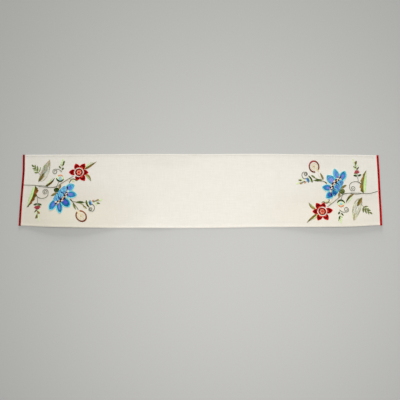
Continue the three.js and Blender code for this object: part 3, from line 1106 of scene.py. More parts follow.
def leaf(foot, tip, breadth, left, right, vein=None, belly=0.45, point=0.8, bend=0.0, slant=0.16, every=1.0,
         lift=0.0):
    """Both halves of a leaf, each with its own dyes, and a vein in stem stitch where it has one."""
    work = [half_leaf(foot, tip, breadth / 2, left, belly, point, bend, slant, 0, every, lift),
            half_leaf(foot, tip, -breadth / 2, right, belly, point, bend, slant, 0, every, lift)]
    if vein is not None:
        work.append(stem(arc(foot, tip, bend), vein, VEIN_BREADTH, VEIN_STITCH, lift + VEIN_LIFT))
    return np.concatenate(work)


def small_leaves(table, breadth):
    """Little two-toned leaves: each row is foot, tip, and the dyes of its two sides."""
    return np.concatenate([leaf(foot, tip, breadth, [left], [right], belly=0.5, slant=0.3)
                           for foot, tip, left, right in table])


print("satin stitches lie", round(SATIN_PITCH, 2), "mm apart")

# %% Borders and rings
def crossed(points, breadths, dyes, lift=0.0, each=None, slant=0.25, aside=0.0):
    """Satin stitches across a line, as in a border or a narrow crescent, or across one that runs a
    distance aside to its left; breadths run along it. The dyes shade along it, or take turns, each for a
    few stitches."""
    line = smooth_line(points)
    at = np.arange(SATIN_PITCH / 2, length_of(line), SATIN_PITCH)
    place = along_line(line, at)
    side = left_of(place)
    heading = np.stack([side[:, 1], -side[:, 0]], -1)
    half = np.interp(at / at[-1], np.linspace(0, 1, len(breadths)), breadths)[:, None] / 2
    place = place + side * aside
    reach = (side - heading * slant) * half
    yarns = taking_turns(dyes, at.size, each) if each else graded(dyes, at.size)
    return satin(place + reach, place - reach, yarns, lift=lift)


def ring(centre, inner, outer, dyes, start=0.0, sweep=360.0, tall=1.0, lift=0.0):
    """Satin stitches across a round band, spaced a yarn apart at its middle radius; tall stretches it in
    v, and the dyes shade round it."""
    count = max(6, round(np.pi * (inner + outer) * sweep / 360 / SATIN_PITCH))
    angle = np.radians(start + sweep * (np.arange(count) + 0.5) / count)
    ray = np.stack([np.cos(angle), tall * np.sin(angle)], -1)
    centre = np.asarray(centre)
    return satin(centre + ray * inner, centre + ray * outer, graded(dyes, count), lift=lift)


print("a ring of 20 mm radius has", round(2 * np.pi * 20 / SATIN_PITCH), "stitches")

# %% [markdown]
# ## The dyes
#
# Some forty wools, named as a stitcher would sort them in the basket. Each is written with its everyday
# values and kept as linear light, which is what a stitch carries.

# %% Dyes
AQUA, TURQUOISE, TEAL = dye(140, 226, 238), dye(58, 186, 216), dye(8, 118, 152)
AZURE, BLUE, SLATE = dye(120, 188, 236), dye(54, 138, 202), dye(34, 72, 132)
VIOLET, INDIGO, CORNFLOWER = dye(126, 140, 226), dye(82, 100, 208), dye(106, 142, 236)
PALE_BLUE, ROYAL, LILAC = dye(176, 212, 240), dye(34, 94, 166), dye(150, 162, 236)
SEA, MIST, PEARL = dye(84, 186, 186), dye(146, 168, 150), dye(212, 214, 192)
SCARLET, MAROON, FLAME = dye(214, 12, 12), dye(112, 0, 2), dye(238, 56, 42)
WHITE, CREAM, BUTTER = dye(250, 244, 236), dye(248, 234, 206), dye(236, 222, 164)
RUST, BROWN, UMBER, TAN = dye(172, 98, 50), dye(126, 82, 8), dye(54, 20, 10), dye(198, 180, 142)
OLIVE, KHAKI, OCHRE = dye(90, 86, 16), dye(142, 126, 70), dye(170, 132, 56)
MOSS, BOTTLE, FOREST = dye(112, 124, 56), dye(40, 70, 12), dye(52, 76, 4)
LEAF_LIGHT, LIME, SAGE = dye(214, 250, 174), dye(230, 244, 194), dye(152, 164, 108)
STONE, BARK, STEM_GREY = dye(196, 188, 156), dye(84, 78, 48), dye(102, 106, 82)
APRICOT, ROSE, PLUM = dye(232, 156, 104), dye(182, 62, 80), dye(112, 40, 44)
BLUSH, HEATHER, PEACH = dye(206, 150, 132), dye(176, 166, 158), dye(242, 184, 140)
print("dyes in linear light, such as turquoise:", np.round(TURQUOISE, 3))

# %% [markdown]
# ## One spray, motif by motif
#
# The spray is a traditional flowering stem. It is drawn in its own flat frame: u runs inwards from the
# runner's end and v across it, both in millimetres, with v = 0 on the centre line. Every motif's place is
# given, and the formulas above fill it. Both ends carry it, but they were worked freely, so some
# wools and shapes differ. `either` picks what an end has, and the right end's motifs may also be turned and
# moved as a whole.

# %% Turning a motif
def either(end, left, right):
    """What one end has where the two differ."""
    return left if end == "left" else right


def turned(points, about, degrees):
    """Points turned about a place by an angle, from u towards v."""
    angle = math.radians(degrees)
    turn = np.array([(math.cos(angle), math.sin(angle)), (-math.sin(angle), math.cos(angle))])
    return (points - about) @ turn + about


def slipped(work, about, degrees, move):
    """A motif's table of stitches, turned about a place and moved."""
    work = work.copy()
    for ends in (slice(0, 2), slice(2, 4)):
        work[:, ends] = turned(work[:, ends], np.array(about), degrees) + move
    return work


print("a quarter turn takes u to", np.round(turned(np.array([1.0, 0.0]), np.zeros(2), 90)))

# %% [markdown]
# Stem stitch carries the whole spray. A grey-green main stem runs in from the runner's end, twigs branch
# off it to the buds, and a tendril hangs below it and rolls up into a coil. A line is given as an arc by
# its two ends and a bend, as a stretch of an oval, or as a few points that a smooth curve joins.

# %% Stems and tendrils
def stems(end):
    """The main stem, the twigs, the tendril with its coil and a small leaf. Each row is a line, its
    wool, its breadth and, where it isn't the usual one, the length of its stitches."""
    start = either(end, [(10, 26), (74, 24)], [(-1.5, 17), (16, 21), (50, 25)])
    hanging = (107, -20), 30, 22
    rows = [
        ([*start, (98, 18), (146, 14), (176, 17)], STEM_GREY, 2.9),
        (arc((84, 22), (142, 14), 0.14), STEM_GREY, 2.2),
        (arc((180, 20), (262, 74), 0.03), STEM_GREY, 2.1),
        (arc((190, 24), (256, 65), 0.06), STONE, 1.8),
        (arc((180, 20), (190, 45), 0.11), STEM_GREY, 2.3),
        (arc((246, -45), (258, -56)), STEM_GREY, 2.6),
        either(end, (arc((258, -56), (293, -102), 0.04), STEM_GREY, 2.8),
               (arc((258, -56), (289, -100), 0.09), PEARL, 2.0)),
        (arc((256, -55), (286, -61), -0.04), STEM_GREY, 2.4),
        ([*oval(*hanging, 196, 372), *coil((122, -9), 15, *either(end, (3.5, 0, 1.85), (2.5, 0, 1.6)))],
         STEM_GREY, 2.7, 4.0),
        either(end, (arc((85, -39), (87, -67)), HEATHER, 4.2), (arc((89, -41), (90, -65)), SAGE, 3.0)),
        (arc((148, 14), (168, 14)), BARK, 3.0),
        (oval(*hanging, 198, 252), BARK, 3.6)]
    return np.concatenate([*[stem(*row) for row in rows], leaf((246, -44), (262, -59), 7, [FOREST], [MOSS])])


print("the tendril's coil is", round(length_of(coil((122, -9), 15, 3.5, 0, 1.85))), "mm of yarn")

# %% [markdown]
# The large leaves near the runner's end are satin stitch from the vein outwards, each half in its own
# wools. Where the stitches lie further apart than a yarn, linen shows between them and the leaf turns pale.
# Long and short stitches in turn give the toothed edge of the big leaf.

# %% Leaves near the end
def long_leaf(end):
    """The big curved leaf: light green along its outer side, brown and toothed along its inner one."""
    foot, tip, bend = (71, 23), either(end, (34, -89), (36, -93)), 0.13
    dark = either(end, [OLIVE, BROWN, RUST, OLIVE, BROWN, BROWN, RUST, OLIVE, OLIVE],
                  [OLIVE, OCHRE, KHAKI, OCHRE, KHAKI, KHAKI])
    reach, belly, teeth = either(end, (17, 0.22, 5.5), (15, 0.27, 4))
    return np.concatenate([
        half_leaf(foot, tip, -17, [LIME, LIME, PEARL], bend=bend, slant=0.1, every=3.0, foot_share=0.6),
        half_leaf(foot, tip, -13.5, [LEAF_LIGHT, LEAF_LIGHT, LIME], point=0.7, bend=bend, slant=0.12,
                  every=1.25, lift=0.2, foot_share=0.7),
        half_leaf(foot, tip, reach, dark, belly, 0.62, bend, slant=0.1, teeth=teeth, foot_share=0.85),
        stem(arc(foot, tip, bend), OLIVE, 1.8, 4.5, 0.3)])


def fern_leaf(end):
    """A rib with seven leaflets in two tones: each row is foot, tip and the dyes of its two sides."""
    deep, middle = either(end, (MOSS, SAGE), (OLIVE, MOSS))
    leaflets = [
        ((86, 90), (91, 120), either(end, LIME, MOSS), deep), ((80, 94), (76, 127), MOSS, middle),
        ((68, 106), (64, 132), MOSS, SAGE), ((59, 118), (47, 131), deep, MOSS),
        ((71, 106), (51, 112), middle, MOSS), ((77, 98), (57, 100), LIME, middle),
        ((84, 91), (61, 89), deep, SAGE)]
    return np.concatenate([stem(arc((95, 74), (51, 130), -0.04), MOSS, 1.8), small_leaves(leaflets, 9)])


def feather_leaf(end):
    """A long pale teardrop, only outlined and filled with open lines, with a solid olive pod at its
    foot. Its inner patch differs: both ends' patches are stitched, and one is kept."""
    foot, tip = (92, 44), (137, 157)
    open_work = [half_leaf(foot, tip, reach, [PEARL, PEARL, TAN], 0.52, bend=-0.03, slant=0.22, every=4.5)
                 for reach in (18, -18)]
    wools = either(end, [SAGE, TAN, PEARL, SAGE, KHAKI, TAN], [SAGE, KHAKI, LIME, KHAKI, SAGE, LIME, TAN])
    breadths = either(end, (4, 6, 6, 5, 3), (5, 8, 8, 7, 4))
    border = [crossed(edge_of(foot, tip, reach, belly), breadths, wools, 0.1, slant=1.0)[::3]
              for reach, belly in ((12.5, 0.41), (-23, 0.38))]
    left_patch = [
        leaf((103, 92), (132, 141), 26, [PEARL, SAGE, PEARL], [TAN, PEARL], belly=0.5, slant=0.3, every=2.0,
             lift=0.1),
        leaf((98, 78), (129, 122), 24, [BLUSH, MIST, MIST], [MIST, MIST, PEARL], belly=0.55, point=0.7,
             slant=0.3, every=2.6, lift=0.2),
        stem(arc((94, 45), (118, 74), 0.03), BLUSH, 1.5)]
    right_patch = [
        leaf((108, 88), (128, 124), 13, [WHITE, CREAM], [WHITE, PEARL], belly=0.5, every=1.5),
        stem(arc((106, 90), (126, 128), 0.03), MIST, 2.0), stem(arc((115, 86), (128, 116)), MIST, 1.8)]
    pod_foot, pod_tip, vein = either(end, ((85, 42), (114, 89), BARK), ((86, 38), (114, 84), MOSS))
    pod_left, pod_right = either(end, ([MOSS, KHAKI, BARK], [OLIVE, KHAKI, SAGE]),
                                 ([KHAKI, OCHRE, OLIVE], [KHAKI, OLIVE, KHAKI]))
    return np.concatenate([
        *open_work, *border, *either(end, left_patch, right_patch),
        leaf((130, 118), (137, 158), 9, [TAN, STONE], [SAGE, TAN], belly=0.5, slant=0.2, every=1.4,
             lift=0.3),
        leaf(pod_foot, pod_tip, 17, pod_left, pod_right, vein, 0.5, 0.7, slant=0.2, lift=0.4)])


def crescent_leaf(end):
    """Two bands of satin across a line: a broad dark crescent, and a narrow pale one inside its bow."""
    dark = either(end, [FOREST, OLIVE, OLIVE, BROWN, OLIVE, FOREST, MOSS],
                  [OCHRE, KHAKI, OLIVE, OLIVE, MOSS])
    brown = crossed(arc((121, 20), (166, 63), -0.2), (4, 11, 12, 11, 9, 6, 2), dark)
    pale = crossed(arc((127, 31), (158, 64), -0.05), (1, 5, 6, 5, 1), [LIME, LEAF_LIGHT, PEARL])
    return np.concatenate([pale, brown])


print("the big leaf's vein is", round(length_of(arc((71, 23), (34, -89), 0.13))), "mm long")

# %% [markdown]
# The small motifs are made of the same parts. A coil is a spiral in stem stitch. The bud is three short
# petals in a cup of satin stitch. The rose of the hanging sprig is five petals that fan from one place.

# %% Coils, sprigs and the bud
def coil_sprig(end):
    """A coil beside an upright twig with seven little leaves."""
    curl = [*arc((198, 95), (181, 108), -0.2, 3), *coil((167, 95), 14, 5, 60, 1.45)]
    deep = either(end, MOSS, FOREST)
    leaves = [
        ((196, 110), (184, 126), deep, MOSS), ((199, 103), (211, 116), BOTTLE, deep),
        ((201, 124), (190, 133), LIME, SAGE), ((203, 124), (211, 142), BOTTLE, deep),
        ((203, 130), (196, 150), LEAF_LIGHT, LIME),
        ((205, 138), (214, 151), *either(end, (deep, BOTTLE), (LIME, MOSS))),
        ((205, 146), (203, 163), LEAF_LIGHT, LIME)]
    twig = arc((199, 90), (206, 152), 0.02)
    return np.concatenate([stem(curl, STEM_GREY, 2.8, 4.0), stem(twig, SAGE, 1.8), small_leaves(leaves, 8.5)])


def bud(end):
    """Two light green petals, a blue one between them, an apricot band over all three and a dark green
    cup."""
    green = [(2, LEAF_LIGHT), (9, LIME)]
    blue = [(2, either(end, AZURE, AQUA)), (9, PALE_BLUE)]
    return np.concatenate([
        petal((185, 52), (181, 73), 12, green), petal((203, 52), (208, 72), 12, green),
        petal((194, either(end, 48, 58)), (194, 71), 12, blue, lift=0.3),
        crossed(arc((182, 71), (207, 71), 0.48), either(end, (4, 9, 9, 4), (6, 11, 11, 6)),
                [APRICOT, PEACH, PEACH, APRICOT], 0.4),
        crossed(arc((174, 61), (213, 58), -0.72), (4, 8, 9, 9, 8, 3),
                [BOTTLE, BOTTLE, FOREST, FOREST, BOTTLE], 0.4)])


def pink_sprig(end):
    """The sprig that hangs from the tendril: a dark leaf pair, a rose flower and small leaves below it."""
    base = either(end, -68, -65)
    pair = [leaf((87 + side * 1.5, base), (87 + side * 21, base - 7), 10, [FOREST, BOTTLE], [BOTTLE],
                 belly=0.5, point=0.6, bend=-0.12 * side, lift=0.3) for side in (-1, 1)]
    inner = either(end, ROSE * 0.6 + PLUM * 0.4, ROSE * 0.8 + BLUSH * 0.2)
    tips = either(end, ((70, -90), (78, -98), (87, -101), (96, -98), (103, -89)),
                  ((74, -89), (79, -97), (88, -98), (96, -97), (101, -88)))
    rose = [petal((87, -82), tip, 10.5, [(3, ROSE), (9, inner)], base=0.5) for tip in tips]
    leaves = [
        ((86, -98), (73, -114), OLIVE, BARK),
        ((87, -106), (102, -118), *either(end, (OCHRE, BROWN), (MOSS, BARK))),
        ((88, -112), (79, -124), LIME, LEAF_LIGHT),
        ((90, -116), (101, -120), *either(end, (RUST, KHAKI), (LIME, SAGE))),
        ((89, -122), (80, -146), OLIVE, KHAKI), ((90, -124), (85, -146), KHAKI, OLIVE),
        ((91, -124), (98, -136), LEAF_LIGHT, LIME), ((94, -134), (100, -160), LIME, LIME),
        ((92, -99), (100, -112), LEAF_LIGHT, LIME)]
    return np.concatenate([stem(arc((87, -66), (92, -142), -0.06), OLIVE, 1.9), *pair,
                           leaf((88, -74), (106, -82), 8, [LIME], [MOSS]), *rose, small_leaves(leaves, 7)])


print("the coil beside the twig is", round(length_of(coil((167, 95), 14, 5, 60, 1.45))), "mm of yarn")

# %% [markdown]
# The red flower has six petals round a white-edged eye. A petal is long-and-short stitch in three wools,
# which follow the distance to its edge: scarlet, then maroon, then a bright red. The eye is a stack of
# satin rings, each a little higher than the last, so that its colours lie over one another as on padded
# work.

# %% Red flower
RED_CENTRE = np.array((287, 92))
RED_EYE = 18                    # from the centre to the petals' feet, in mm
RED_PETALS = {  # direction in degrees, length from the centre, breadth
    "left": [(180, 51, 30), (113, 49, 29), (58, 54, 29), (-1, 48, 28), (-55, 54, 30), (-102, 44, 26)],
    "right": [(182, 54, 30), (116, 52, 29), (56, 52, 29), (-5, 49, 29), (-62, 52, 29), (-108, 47, 27)]}


def round_centre(count, radius):
    """Places of a ring of knots round the flower's centre."""
    angle = 2 * np.pi * np.arange(count) / count
    return RED_CENTRE + radius * np.stack([np.cos(angle), np.sin(angle)], -1)


def red_flower(end):
    """Six petals, scarlet at the edge, maroon inside it and bright at the foot, round an eye of five
    rings and six knots."""
    petals = []
    for direction, length, breadth in RED_PETALS[end]:
        ray = np.array([math.cos(math.radians(direction)), math.sin(math.radians(direction))])
        bands = [(0.11 * breadth, SCARLET), (0.27 * breadth, MAROON), (20, FLAME)]
        petals.append(petal(RED_CENTRE + ray * RED_EYE, RED_CENTRE + ray * length, breadth, bands,
                            belly=0.36, point=0.75, base=0.8, stitch=5.0, tip_weight=0.36))
    return np.concatenate([
        *petals,
        ring(RED_CENTRE, 18.6, 25, [WHITE, CREAM, WHITE, PEARL, WHITE, WHITE, BLUSH, WHITE], lift=0.3),
        ring(RED_CENTRE, 13.8, 20, [MAROON], lift=0.5),
        ring(RED_CENTRE, 9, 14.6, [SCARLET, FLAME, SCARLET, FLAME, SCARLET], lift=0.3),
        knots(round_centre(6, 12.2), 1.2, CREAM, 0.7),
        ring(RED_CENTRE, 7.2, 10, [CREAM, BUTTER, either(end, CREAM, SAGE), BUTTER, CREAM], lift=0.35),
        ring(RED_CENTRE, 0.4, 7.8, [SCARLET * 0.4 + FLAME * 0.6], lift=0.6)])


def red_flower_leaves(end):
    """The long leaf beyond the flower with its pale wing, the leaf below it, and the curl and small
    leaves at its stem. Both ends' wings are stitched, and one is kept."""
    wing = half_leaf((316, 108), (362, 148), 12, [LEAF_LIGHT, LIME, PEARL], bend=0.06, every=2.0)
    short_wing = half_leaf((316, 108), (346, 134), 10, [LEAF_LIGHT, LIME], bend=0.06, every=1.5)
    curl = [*arc((244, 44), (276, 49), 0.68), (286, 54)]
    return np.concatenate([
        either(end, wing, short_wing),
        leaf((314, 106), (373, 148), 11, [OLIVE, MOSS, KHAKI, MOSS, TAN],
             [OCHRE, BROWN, OCHRE, OLIVE, OCHRE], OLIVE, 0.4, 0.7, -0.02, lift=0.2),
        half_leaf((319, 83), (349, 47), 10, [OCHRE, OCHRE, KHAKI, SAGE], 0.42, bend=0.08),
        half_leaf((319, 83), (347, 50), -7.5, [MOSS, LEAF_LIGHT, LIME, PEARL], 0.5, bend=0.08, every=1.3),
        stem(arc((321, 81), (349, 47), -0.04), KHAKI, 1.8),
        crossed(curl, (3, 5, 6, 6, 5, 3), [STEM_GREY, OLIVE, MOSS, OLIVE, KHAKI]),
        stem(arc((247, 52), either(end, (240, 36), (245, 36))), OLIVE, 3.4),
        leaf((243, 52), (229, 45), 8, [WHITE], [CREAM]), leaf((238, 60), (250, 54), 6, [SAGE], [BUTTER]),
        leaf((252, 50), (270, 44), 9, [BUTTER, LIME], [LIME])])


print("red petals:", {end: len(rows) for end, rows in RED_PETALS.items()})

# %% [markdown]
# The blue flower is seen from the side: five broad petals hang from its mouth. They are shaded like the red
# ones, but with a rim of its own wool on each side, and a line of aqua stem stitch sharpens every edge.

# %% Blue petals
BLUE_PETALS = {  # foot, tip, breadth, bend, belly, base, rims on the left and right, ring inside them, heart
    "left": [((229, 0), (267, 27), 37, 0.1, 0.42, 0.8, TURQUOISE, TURQUOISE, AZURE, CORNFLOWER),
             ((230, -20), (281, -24), 36, 0.0, 0.42, 0.85, TURQUOISE, TEAL, BLUE, VIOLET),
             ((211, -48), (247, -86), 41, 0.05, 0.4, 0.9, TURQUOISE, TEAL, TEAL, INDIGO),
             ((190, -62), (203, -119), 31, 0.03, 0.44, 0.8, TEAL, TURQUOISE, TEAL, VIOLET),
             ((175, -56), (151, -103), 35, -0.06, 0.46, 0.65, TURQUOISE, TEAL, BLUE, CORNFLOWER)],
    "right": [((227, 2), (262, 27), 36, 0.1, 0.42, 0.8, TEAL, TURQUOISE, BLUE, INDIGO),
              ((229, -19), (275, -29), 34, 0.0, 0.42, 0.85, TEAL, BLUE, BLUE, VIOLET),
              ((211, -48), (242, -88), 40, 0.05, 0.4, 0.9, TEAL, TEAL, AZURE, LILAC),
              ((191, -62), (201, -118), 31, 0.0, 0.44, 0.8, TURQUOISE, TEAL, AZURE, VIOLET),
              ((175, -56), (150, -102), 34, -0.06, 0.46, 0.65, TEAL, TURQUOISE, BLUE, VIOLET)]}


def blue_petals(end):
    """Five petals that shade from an aqua edge through rim, ring and a deeper blue to the heart, each
    with a line of stem stitch along both edges."""
    work = []
    point = either(end, 0.62, 0.76)
    for foot, tip, breadth, bend, belly, base, *rims, within, heart in BLUE_PETALS[end]:
        deep = [(11.5, ROYAL if heart is INDIGO else BLUE), (40, heart)]
        left, right = ([(3.0, AQUA), (5.6, rim), (9.0, within), *deep] for rim in rims)
        work.append(petal(foot, tip, breadth, left, right, belly, point, base, bend, 5.5, tip_weight=0.52))
        work += [stem(edge_of(foot, tip, reach, belly, point, bend, base), AQUA, 2.6, 4.6, 0.2)
                 for reach in (breadth / 2, -breadth / 2)]
    return np.concatenate(work)


print("blue petals:", {end: len(rows) for end, rows in BLUE_PETALS.items()})

# %% [markdown]
# Between the petals and the calyx lies the flower's heart: three lobes side by side, parted by dark seams.
# It is filled in its own coordinates, across it from 0 to 1 and outwards from 0 to 1, so that columns of
# thread fan from the calyx to the front. A checked border of cream and dark blocks covers the line where
# heart and petals meet.

# %% Blue flower's heart
HEART_FRONT = smooth_line(edge_of((164, -54), (227, 18), -23, 0.48, 0.45, count=15))
HEART_BREADTH, HEART_DEPTH = 85, 30   # in mm, to turn shares across and outwards into distances
HEART_BANDS = 2.7, 4.6, 7.5, 11, 99   # distances from a seam at which the wools change
HEART_LOBES = {  # where each lobe begins and ends across the heart, and its dyes from the seam inwards
    "left": [(-1, 0.34, (BLUE, AZURE, AQUA, AZURE)), (0.34, 0.6, (AZURE, AQUA, AZURE, BLUE)),
             (0.6, 2, (AZURE, AZURE, AQUA, AZURE))],
    "right": [(-1, 0.34, (AQUA, AZURE, AZURE, ROYAL * 0.4 + AZURE * 0.6)),
              (0.34, 0.64, (AQUA, AZURE, BLUE, VIOLET)), (0.64, 2, (AQUA, TEAL, BLUE, ROYAL))]}
SEEDS = [  # foot and tip of each
    ((213, -3), (221, -10)), ((177, -41), (183, -50)), ((197, -31), (205, -38)), ((186, -28), (194, -34))]


def heart_place(across, outward):
    """The flower's heart lies between the line that touches the calyx (outward 0) and its front (1). Across
    runs from 0 at its lower side to 1 at its upper one."""
    back, _ = bow((163, -46), (216, 22), 0.1, across)
    front = along_line(HEART_FRONT, across * length_of(HEART_FRONT))
    return back + (front - back) * np.asarray(outward, float)[..., None]


def blue_heart(end):
    """Three lobes of long-and-short stitch side by side. A slate seam parts them, and each shades from
    it inwards. The seams lean and waver a little on their way out. A few slate seeds and wine-red knots
    lie on top, and stem stitch runs round the back and both sides."""
    across, begin, finish = staggered(80, 42, 6)
    across = (across + 1) / 2
    middle = (begin + finish) / 2
    leaning = across + 0.14 * (middle - 0.5) + 0.03 * np.sin(9 * middle + 8 * across)
    ground = np.zeros((across.size, 3))
    for low, high, dyes in HEART_LOBES[end]:
        to_seam = np.minimum(leaning - low, high - leaning) * HEART_BREADTH
        to_front = (1.04 - middle) * HEART_DEPTH + hand.uniform(-0.8, 0.8, across.size)
        depth = np.minimum(to_seam + 1.6 * (1 - middle), to_front)
        shade = shades(depth, list(zip(HEART_BANDS, (SLATE, *dyes))))
        ground = np.where((to_seam >= 0)[:, None], shade, ground)
    seeds = [leaf(foot, tip, 6, [SLATE], [ROYAL], lift=0.6) for foot, tip in SEEDS]
    work = [laid(heart_place(across, begin), heart_place(across, finish), 1.45 * YARN, ground), *seeds]
    work.append(knots(heart_place(np.linspace(0.56, 0.72, 4), np.full(4, 0.97)), 2.2, PLUM, 0.9))
    for side in (0.0, 1.0):
        work.append(stem(heart_place(np.full(7, side), np.linspace(0, 1, 7)), AQUA, 2.2, 4.2))
    work.append(stem(heart_place(np.linspace(0, 1, 11), np.zeros(11)), TURQUOISE, 2.0, 4.2))
    return np.concatenate(work)


print("the heart's front is", round(length_of(HEART_FRONT)), "mm long")

# %% Blue flower's mouth and calyx
MOUTH_GAP = 7.0                 # from the heart's front to the middle of the mouth's border
MOUTH_SHARE = 0.72              # how much of the front the border runs along
BLOCK = 5                       # stitches in one block of the border

mouth_line = HEART_FRONT - MOUTH_GAP * left_of(HEART_FRONT)
MOUTH = along_line(mouth_line, np.linspace(0, MOUTH_SHARE, 9) * length_of(mouth_line))


def blue_mouth(end):
    """The dotted border of the flower's mouth: two rows of cream and dark blocks set like bricks, with a
    short row at each end of it. It is the same at both ends."""
    near = [CREAM, CREAM, UMBER, UMBER, CREAM, PLUM, UMBER, UMBER, CREAM, BLUSH, CREAM, UMBER, UMBER, CREAM,
            CREAM, PLUM, UMBER, CREAM]
    far = [UMBER, UMBER, WHITE, CREAM, UMBER, UMBER, CREAM, CREAM, PLUM, UMBER, UMBER, WHITE, CREAM, UMBER,
           UMBER, WHITE, CREAM, PLUM]
    return np.concatenate([
        crossed(arc((172, -76), (191, -72), -0.12), (4, 7, 5), [PLUM, BLUSH, PLUM], 0.9),
        crossed(MOUTH, (8, 8.6, 8.6, 8.2, 7), near, 1.0, BLOCK, slant=0.1, aside=3.6),
        crossed(MOUTH, (9.5, 9.5, 8.6, 8.2, 5), far, 1.1, BLOCK, slant=0.1, aside=-3.6),
        crossed(arc((236, -10), (230, 21), -0.06), (9, 7, 6, 8, 4),
                [WHITE, CREAM, UMBER, UMBER, UMBER], 1.3)])


def calyx(end):
    """The green knob that holds the blue flower: two rings, a narrow leaf on each side and two knots."""
    centre = (178, 1)
    dark = either(end, [FOREST, BOTTLE, FOREST, FOREST], [MOSS, FOREST, SAGE * 0.5 + MOSS * 0.5, MOSS])
    return np.concatenate([
        leaf((191, 5), (200, 34), 13, [TAN, KHAKI, TAN], [KHAKI, KHAKI, TAN], KHAKI, 0.45, 0.7, 0.1,
             lift=0.2),
        leaf((187, -9), (150, -29), 13, [KHAKI, KHAKI, MOSS], [TAN, KHAKI, KHAKI], KHAKI, 0.5, 0.7, 0.06,
             lift=0.2),
        ring(centre, 6, either(end, 14, 15.5), dark, tall=0.9, lift=0.35),
        ring(centre, 0.5, 6.8, dark[:2], tall=0.85, lift=0.4),
        knots([(178, 19), (174, 17)], 2.6, either(end, STEM_GREY, BOTTLE))])


print("the mouth's border is", round(length_of(MOUTH)), "mm long")

# %% [markdown]
# The last two motifs hang beyond the blue flower. The ring bud is a brown outline that stops short at its
# mouth, round fine rings of cream and yellow wool. The bell sprig is a light twig with a small blue bell, a
# coil and many little leaves, and each leaf is one row of a table.

# %% Ring bud and bell sprig
def ring_bud(end):
    """A round open bud: a brown outline that stops short at its mouth, and fine cream and yellow
    filling. Both ends' outlines are stitched, and one is kept."""
    centre = (308, -132)
    deep = MAROON * 0.45 + RUST * 0.3 + UMBER * 0.25
    warm = RUST * 0.5 + BROWN * 0.4 + UMBER * 0.1
    rosy = ROSE * 0.5 + RUST * 0.5
    rim = either(end, [warm, warm, warm, deep, deep, warm, warm, RUST, RUST],
                 [warm, warm, deep, rosy, ROSE, rosy, deep, deep, deep])
    outline_ring = either(end, ring(centre, 19.2, 26.6, rim, start=96, sweep=329, tall=1.26),
                          ring(centre, 20.2, 27.8, rim, start=136, sweep=320, tall=1.17))
    filling = [ring(centre, radius, radius + 3.4, dyes, tall=1.12) for radius, dyes in
               ((14, [CREAM, BUTTER, CREAM]), (8, [BUTTER, CREAM, BUTTER]), (2, [BUTTER]))]
    work = np.concatenate([outline_ring, *filling, knots([centre], 1.8, PEACH)])
    return np.concatenate([slipped(work, centre, either(end, 40, 0), (0, 0)),
                           leaf((287, -102), (299, -124), 10, [BUTTER], [CREAM])])


def bell_sprig(end):
    """A twig with a dark leaf, a curved pair, a blue bell, a coil and light leaves at its tip. A row of
    the leaf tables is foot, tip, breadth and the dyes of both sides. The two leaves below it differ:
    both ends' are stitched, and one pair is kept."""
    curl = np.concatenate([oval((356, -90), 16, 19, 84, -62, 6), coil((353, -96), 10.5, 3.5, -62, -1.6)])
    curl = curl + either(end, (0, 0), (5.5, 0))
    curved = crossed(arc((329, -51), (345, -86), -0.24), (5, 9, 9, 8, 5), [BOTTLE, OLIVE, BOTTLE], 0.2)
    main_leaf = [MOSS, BOTTLE, either(end, BOTTLE, MOSS)]
    foot_leaves = [
        ((275, -61), (322, -61), 13, main_leaf, [MOSS, FOREST, BOTTLE], BOTTLE, 0.5, 0.9),
        ((336, -54), (345, -80), 8, [LEAF_LIGHT], [LEAF_LIGHT, LIME]),
        ((300, -68), (320, -76), 7, [SAGE], [STONE, TAN])]
    tip_leaves = [
        ((345, -50), (352, -58), 6, [SEA], [MIST]), ((373, -52), (380, -58), 6, [SEA], [TEAL]),
        ((350, -70), (364, -73), 7, [BOTTLE], [MOSS]), ((358, -54), (371, -50), 8, [APRICOT], [BLUSH]),
        ((362, -59), (376, -56), 6, [RUST], [BARK]),
        ((376, -53), (394, -47), 9, [KHAKI, OCHRE], [RUST, TAN]),
        ((380, -64), (399, -68), 9, [OLIVE], [MOSS]), ((374, -60), (384, -77), 9, [LIME], [LEAF_LIGHT]),
        ((390, -54), (412, -47), 9, [LIME, LEAF_LIGHT], [LIME])]
    return np.concatenate([
        stem(arc((284, -60), (400, -52), -0.055), SAGE, 1.8), stem(curl, STEM_GREY, 3.3, 4.0), curved,
        *[leaf(*row) for row in foot_leaves],
        *either(
            end,
            [leaf((314, -76), (335, -94), 10, [OLIVE, MOSS], [OLIVE, BUTTER, MOSS], None, 0.5, bend=-0.15),
             leaf((264, -64), (280, -100), 10, [MOSS, MOSS, SAGE], [MOSS, SAGE, SAGE], OLIVE, 0.42,
                  bend=-0.08)],
            [leaf((312, -71), (333, -89), 10, [MOSS, FOREST], [MOSS, SAGE, MOSS], None, 0.5, bend=-0.15),
             leaf((272, -62), (286, -99), 11, [OLIVE, KHAKI, OCHRE], [KHAKI, SAGE, KHAKI], KHAKI, 0.42,
                  bend=-0.08)]),
        petal((347, -54), (352, -78), 14, [(2, AZURE), (9, BLUE)], [(2, SLATE), (9, INDIGO)]),
        *[leaf(*row) for row in tip_leaves]])


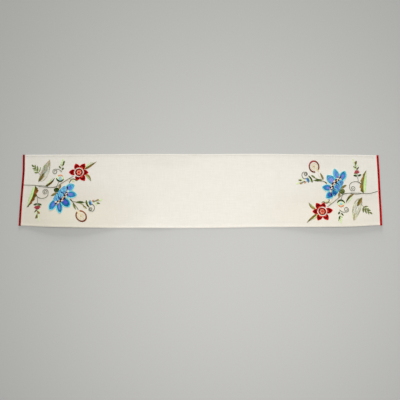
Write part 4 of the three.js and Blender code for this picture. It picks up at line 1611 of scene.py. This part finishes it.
print("the bell sprig's twig is", round(length_of(arc((284, -60), (400, -52), -0.055))), "mm long")

# %% [markdown]
# ## Sewing the spray on both ends
#
# The right end carries the same spray turned half round. The stitcher's transfer was laid a little askew
# there: it is turned a few degrees about the calyx and starts a little further in, and some motifs slipped
# by themselves. Two small functions say where a point of the spray lies on the runner.

# %% Both ends
SKEW = 5.5                      # degrees
SKEW_ABOUT = np.array((178.0, 4.0))
SKEW_SHIFT = 14.0
SLIPS = {  # motif on the right end: turned about (u, v), by this many degrees, and moved by (u, v)
    "long_leaf": ((71, 23), 2.6, (0, 0)), "fern_leaf": ((98, 74), 0, (-3, 0)),
    "feather_leaf": ((114, 98), -4.3, (0, 0)), "coil_sprig": ((198, 95), 0, (3, 0)),
    "bud": ((194, 60), 0, (-3, 0)), "pink_sprig": ((87, -66), 0, (2.5, -2.5)),
    "red_flower": ((287, 92), 0, (3, 2)), "red_flower_leaves": ((287, 92), 0, (2, -4)),
    "ring_bud": ((308, -132), 0, (-7, -5.5)), "bell_sprig": ((258, -56), -2.2, (-8.5, -3.6))}
MOTIFS = [stems, long_leaf, fern_leaf, feather_leaf, crescent_leaf, coil_sprig, bud, pink_sprig,
          red_flower_leaves, red_flower, blue_petals, blue_heart, blue_mouth, calyx, ring_bud, bell_sprig]


def to_left_end(points):
    """A place of the spray on the left end: u is measured from the runner's left end."""
    return np.stack([points[..., 0] - HALF, points[..., 1]], -1)


def to_right_end(points):
    """A place of the spray on the right end: turned a little askew, then half round."""
    askew = turned(points, SKEW_ABOUT, SKEW)
    return np.stack([HALF - askew[..., 0] - SKEW_SHIFT, -askew[..., 1]], -1)


for motif in MOTIFS:
    name = motif.__name__
    work = {end: motif(end) for end in BOTH_ENDS}
    if name in SLIPS:
        work["right"] = slipped(work["right"], *SLIPS[name])
    for end, to_end in zip(BOTH_ENDS, (to_left_end, to_right_end)):
        sew(f"{end}_{name}", work[end], to_end, CREWEL_YARN)
    print(f"{name:18s}{len(work['left']):5d} stitches on the left, {len(work['right']):5d} on the right")
